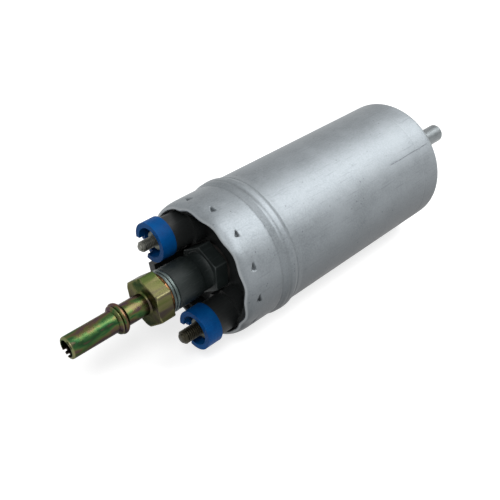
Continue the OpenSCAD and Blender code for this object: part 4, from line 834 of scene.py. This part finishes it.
def wire_coil(name, start, stop, towards, coil_radius, wire_radius, turns):
    """A coil spring from one point to another, in millimetres. The path is a helix whose pitch eases to
    nothing over the first and last turn, so that the end turns lie closed. A circle is carried along
    the path, square to it: its two axes are the outward direction and the one square to both."""
    start, stop, side = (np.asarray(v, float) for v in (start, stop, towards))
    along = (stop - start) / np.linalg.norm(stop - start)
    other = np.cross(along, side)
    per_turn = 26
    t = np.linspace(0.0, 1.0, int(turns * per_turn) + 1)
    closed = 1.3 / turns
    pace = smooth(t, 0.0, closed) * (1.0 - smooth(t, 1.0 - closed, 1.0)) + 0.04
    climb = np.concatenate([[0.0], np.cumsum(0.5 * (pace[1:] + pace[:-1]))])
    length = np.linalg.norm(stop - start) - 2.0 * wire_radius
    travel = wire_radius + climb / climb[-1] * length
    angle = 2.0 * np.pi * turns * t
    outward = np.cos(angle)[:, None] * side + np.sin(angle)[:, None] * other
    path = start + travel[:, None] * along + coil_radius * outward
    heading = np.gradient(path, axis=0)
    heading /= np.linalg.norm(heading, axis=1, keepdims=True)
    across = np.cross(heading, outward)
    round_wire = round_the_clock(10)[..., None]
    off_path = np.cos(round_wire) * outward[:, None] + np.sin(round_wire) * across[:, None]
    tube = path[:, None] + wire_radius * off_path
    return new_piece(name, [((tube - [LIP_PLANE, 0.0, 0.0]) / 1000.0, False)])


BRASS = worn("bare_brass", 1.0, 0.30, (164, 130, 66), (206, 170, 98), (96, 72, 34), 150.0, 15)
GROUND_STEEL = worn("ground_steel", 1.0, 0.22, (158, 160, 164), (196, 198, 201), (104, 106, 110),
                    220.0, 10, 0.35, 0.15)
SPRING_WIRE = worn("spring_wire", 1.0, 0.28, (138, 141, 146), (184, 187, 191), (74, 76, 82),
                   400.0, 10, 0.3, 0.25)
dressed(BRASS, "valve_guide", "relief_plug")
dressed(GROUND_STEEL, "valve_poppet")
closing_spring = wire_coil("closing_spring", (-8.04, 0.0, 0.0), (6.64, 0.0, 0.0), (0.0, 0.0, 1.0),
                           2.05, 0.34, 7.5)
fitted(closing_spring, "spring_steel", SPRING_WIRE, "valve_spring")
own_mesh(closing_spring)

# The brush gear. Brass strips lead from the studs to two square brass guides on a moulded plate. A
# carbon brush slides in each, and a spring presses it on the commutator.
dressed(worn("guide_resin", 0.0, 0.48, (186, 176, 150), (210, 201, 178), (140, 126, 96),
             130.0, 20, 0.15, 0.3), "brush_plate")
dressed(BRASS, "terminal_strip_thin", "terminal_strip_thick", "brush_guide_upper", "brush_guide_lower")
dressed(worn("pressed_carbon", 0.1, 0.55, (36, 36, 38), (56, 56, 59), (96, 96, 100),
             420.0, 20, 0.5, 0.6), "brush_upper", "brush_lower")
for brush_side, brush_sign in (("upper", 1.0), ("lower", -1.0)):
    outwards = brush_sign * np.array([0.0, math.sin(TOWER_CLOCK), math.cos(TOWER_CLOCK)])
    guide_middle = np.array([34.5, 0.0, 0.0])
    inner_end, outer_end = guide_middle + 15.08 * outwards, guide_middle + 20.68 * outwards
    brush_spring = wire_coil("wire_spring_" + brush_side, inner_end, outer_end, (1.0, 0.0, 0.0),
                             2.0, 0.19, 6.5)
    fitted(brush_spring, "spring_steel", SPRING_WIRE, "brush_spring_" + brush_side)
    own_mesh(brush_spring)

# The armature. Ground shaft, copper commutator on a pressed hub, stacked steel laminations with fibre
# discs on both ends, and varnished windings in their ten slots. Fibre washers take its end thrust.


def laminated():
    """Stacked sheet: worn steel, with a dark line between sheets every half millimetre along X."""
    material = worn("stacked_sheet", 1.0, 0.38, (104, 105, 108), (142, 143, 146), (66, 62, 60),
                    180.0, 10, 0.1, 0.3)
    tree = material.node_tree
    bands = node(tree, "TexWave", {"Vector": object_place(tree), "Scale": 318.0},
                 wave_type="BANDS", bands_direction="X")
    line = times(tree, spread(tree, bands.outputs["Fac"], 0.25, 0.0), 0.7)
    laid_over(material, line, (52, 50, 50))
    return material


def end_turns(front, back, inner, outer, round_over):
    """One side's end turns: a rounded ring, turned round the shaft, whose surface rises and falls with
    the wires: a cosine of the clock angle plus a share of the way along the section, so that the
    wires lie aslant, deeper where ten bundles meet."""
    ring = [(front, inner), (front, outer), (back, outer), (back, inner)]
    section = finer(eased(ring, round_over), 0.35)
    clock = round_the_clock(480)
    way = np.linspace(0.0, 1.0, len(section))[:, None]
    wires = np.abs(np.cos(34.0 * clock + 9.0 * np.pi * way))
    bundles = np.abs(np.cos(5.0 * clock + 1.5 * np.pi * way)) ** 0.5
    centre = np.array([(front + back) / 2, (inner + outer) / 2])
    shrink = 1.0 - 0.055 * (1.0 - wires) - 0.12 * (1.0 - bundles)
    station = centre[0] + (section[:, :1] - centre[0]) * shrink
    radius = centre[1] + (section[:, 1:] - centre[1]) * shrink
    return on_axis(station, radius, clock)


def slot_bundle(turn, front, back, inner, outer, width):
    """The wires in one slot: rows along the slot, and a rounded outline with a ripple of wires."""
    half = width / 2
    outline = finer(eased([(-half, inner), (-half, outer), (half, outer), (half, inner)], 0.6), 0.22)
    middle = np.array([0.0, (inner + outer) / 2])
    ripple = 1.0 - 0.035 * (0.5 + 0.5 * np.cos(np.arange(len(outline)) * np.pi))[:, None]
    outline = middle + (outline - middle) * ripple
    radius = np.hypot(outline[:, 0], outline[:, 1])[None, :]
    clock = turn + np.arctan2(outline[:, 0], outline[:, 1])[None, :]
    return on_axis(np.linspace(front, back, 12)[:, None], radius, clock)


ENAMEL = worn("wire_enamel", 0.35, 0.26, (132, 62, 30), (176, 92, 48), (74, 32, 16), 500.0, 10, 0.2, 0.2)
dressed(GROUND_STEEL, "shaft")
dressed(worn("turned_copper", 1.0, 0.28, (176, 104, 68), (208, 138, 98), (92, 48, 30),
             160.0, 15, 0.4, 0.3), "commutator")
dressed(worn("hub_resin", 0.0, 0.42, (64, 42, 28), (86, 60, 42), (120, 92, 66),
             150.0, 20, 0.2, 0.5), "commutator_hub")
dressed(laminated(), "lamination_stack")
dressed(worn("slot_fibre", 0.0, 0.5, (168, 76, 36), (198, 102, 54), (112, 48, 22),
             300.0, 20, 0.4, 0.3), "insulator_front", "insulator_rear")
SLOTS = 10
bundles = [(slot_bundle(2.0 * np.pi * i / SLOTS, 47.6, 76.4, 7.95, 13.8, 2.8), False)
           for i in range(SLOTS)]
wound_wire = new_piece("wound_wire", bundles + [
    (end_turns(43.85, 47.95, 5.05, 14.0, 1.2), True), (end_turns(76.05, 80.7, 5.05, 14.0, 1.4), True),
])
fitted(wound_wire, "wire_enamel", ENAMEL, "windings", body="armature")

# The field. A plated steel ring closes the path of two ferrite magnets, which two spring steel clips
# hold apart. Sintered bronze bushes, one in the cover and one in the side plate, carry the shaft.
dressed(worn("plated_steel", 1.0, 0.34, (120, 123, 127), (154, 157, 160), (84, 82, 78),
             110.0, 20, 0.35, 0.4), "flux_ring", "pump_screws")
dressed(worn("ground_ferrite", 0.25, 0.5, (58, 58, 61), (82, 82, 86), (40, 36, 34),
             240.0, 30, 0.4, 0.6), "magnet_upper", "magnet_lower")
dressed(SPRING_WIRE, "magnet_clips")
dressed(worn("oiled_bronze", 1.0, 0.40, (134, 108, 70), (166, 138, 94), (78, 58, 34),
             480.0, 30, 0.15, 0.8), "front_bush", "rear_bush")

# The pumping stage. Two die cast side plates with ports close a sintered ring. In it the key turns
# the inner rotor, which carries the outer rotor round. Three screws hold the stack.
dressed(worn("faced_casting", 0.95, 0.38, (138, 141, 144), (172, 175, 177), (88, 90, 94),
             170.0, 30, 0.4, 0.5), "pump_outlet_plate", "pump_inlet_plate")
dressed(worn("sintered_iron", 0.9, 0.36, (110, 113, 118), (144, 147, 151), (60, 60, 64),
             420.0, 20, 0.25, 0.8), "gerotor_ring", "outer_rotor", "inner_rotor")
dressed(GROUND_STEEL, "drive_key", "relief_ball")

# The relief valve's spring. Drawn wire between the steel ball and the brass plug screwed into the
# side plate. It lets fuel pass back when the outlet is blocked.
relief_clock = math.radians(131.0)
relief_side = 19.2 * np.array([0.0, math.sin(relief_clock), math.cos(relief_clock)])
relief_coil = wire_coil("relief_coil", relief_side + [88.47, 0.0, 0.0], relief_side + [99.47, 0.0, 0.0],
                        (0.0, 0.0, 1.0), 1.75, 0.24, 8.5)
fitted(relief_coil, "spring_steel", SPRING_WIRE, "relief_spring")
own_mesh(relief_coil)

# The studio: a pale floor under the pump and soft lamps, white behind. The camera looks at the pump
# from the photograph's angle, above the outlet end and to its left.


def seen_share(tree):
    """1 for rays from the camera or from a mirror or glass surface, and 0 for the rest."""
    path = node(tree, "LightPath").outputs
    shiny = maths(tree, "MAXIMUM", path["Is Glossy Ray"], path["Is Transmission Ray"])
    return maths(tree, "MAXIMUM", path["Is Camera Ray"], shiny)


floor_half, floor_height = 3.0, -0.0269
floor_corners = [(x * floor_half, y * floor_half, floor_height)
                 for x, y in ((-1, -1), (1, -1), (1, 1), (-1, 1))]
floor_mesh = bpy.data.meshes.new("studio_floor")
floor_mesh.from_pydata(floor_corners, [], [[0, 1, 2, 3]])
floor = placed("studio_floor", floor_mesh)
floor_paint = bpy.data.materials.new("studio_white")
floor_paint.use_nodes = True
paint = floor_paint.node_tree
paint.nodes.clear()
lit = node(paint, "BsdfDiffuse", {"Color": (0.80, 0.80, 0.80, 1.0)})
shaded = node(paint, "BsdfDiffuse", {"Color": (0.55, 0.55, 0.55, 1.0)})
away = node(paint, "VectorMath", {0: object_place(paint)}, operation="LENGTH").outputs["Value"]
pale = spread(paint, away, 0.2, 0.6, 0.72, 1.0)
glow = node(paint, "Emission", {"Color": (1.0, 1.0, 1.0, 1.0), "Strength": pale})
seen = node(paint, "AddShader", {0: shaded.outputs[0], 1: glow.outputs[0]})
chosen = node(paint, "MixShader", {0: seen_share(paint), 1: lit.outputs[0], 2: seen.outputs[0]})
node(paint, "OutputMaterial", {"Surface": chosen.outputs[0]})
floor.data.materials.append(floor_paint)

world = bpy.data.worlds.new("studio_air")
bpy.context.scene.world = world
world.use_nodes = True
air = world.node_tree
air.nodes["Background"].inputs["Color"].default_value = (1.0, 1.0, 1.0, 1.0)
air.links.new(spread(air, seen_share(air), 0.0, 1.0, 0.28, 1.0), air.nodes["Background"].inputs["Strength"])


def soft_lamp(name, place, size, watts):
    """A square soft box at a place, which shines at the pump's middle."""
    light = bpy.data.lights.new(name, "AREA")
    light.shape = "SQUARE"
    light.size = size
    light.energy = watts
    lamp = placed(name, light)
    lamp.location = place
    toward = [-part for part in place]
    lamp.rotation_euler = Vector(toward).to_track_quat("-Z", "Y").to_euler()


soft_lamp("main_soft_box", (0.51, -0.26, 0.69), 0.72, 7.9)
soft_lamp("front_soft_box", (-0.45, -0.35, 0.75), 0.30, 2.5)

photo_camera = bpy.data.cameras.new("photo_camera")
photo_camera.lens = 53.77
photo_camera.sensor_width = 36.0
photo_camera.clip_start = 0.01
camera = placed("photo_camera", photo_camera)
camera.location = (-0.20177, -0.15979, 0.16380)
camera.rotation_euler = Vector((0.5668, 0.5680, -0.5968)).to_track_quat("-Z", "Y").to_euler()
bpy.context.scene.camera = camera
bpy.context.scene.view_settings.view_transform = "Standard"
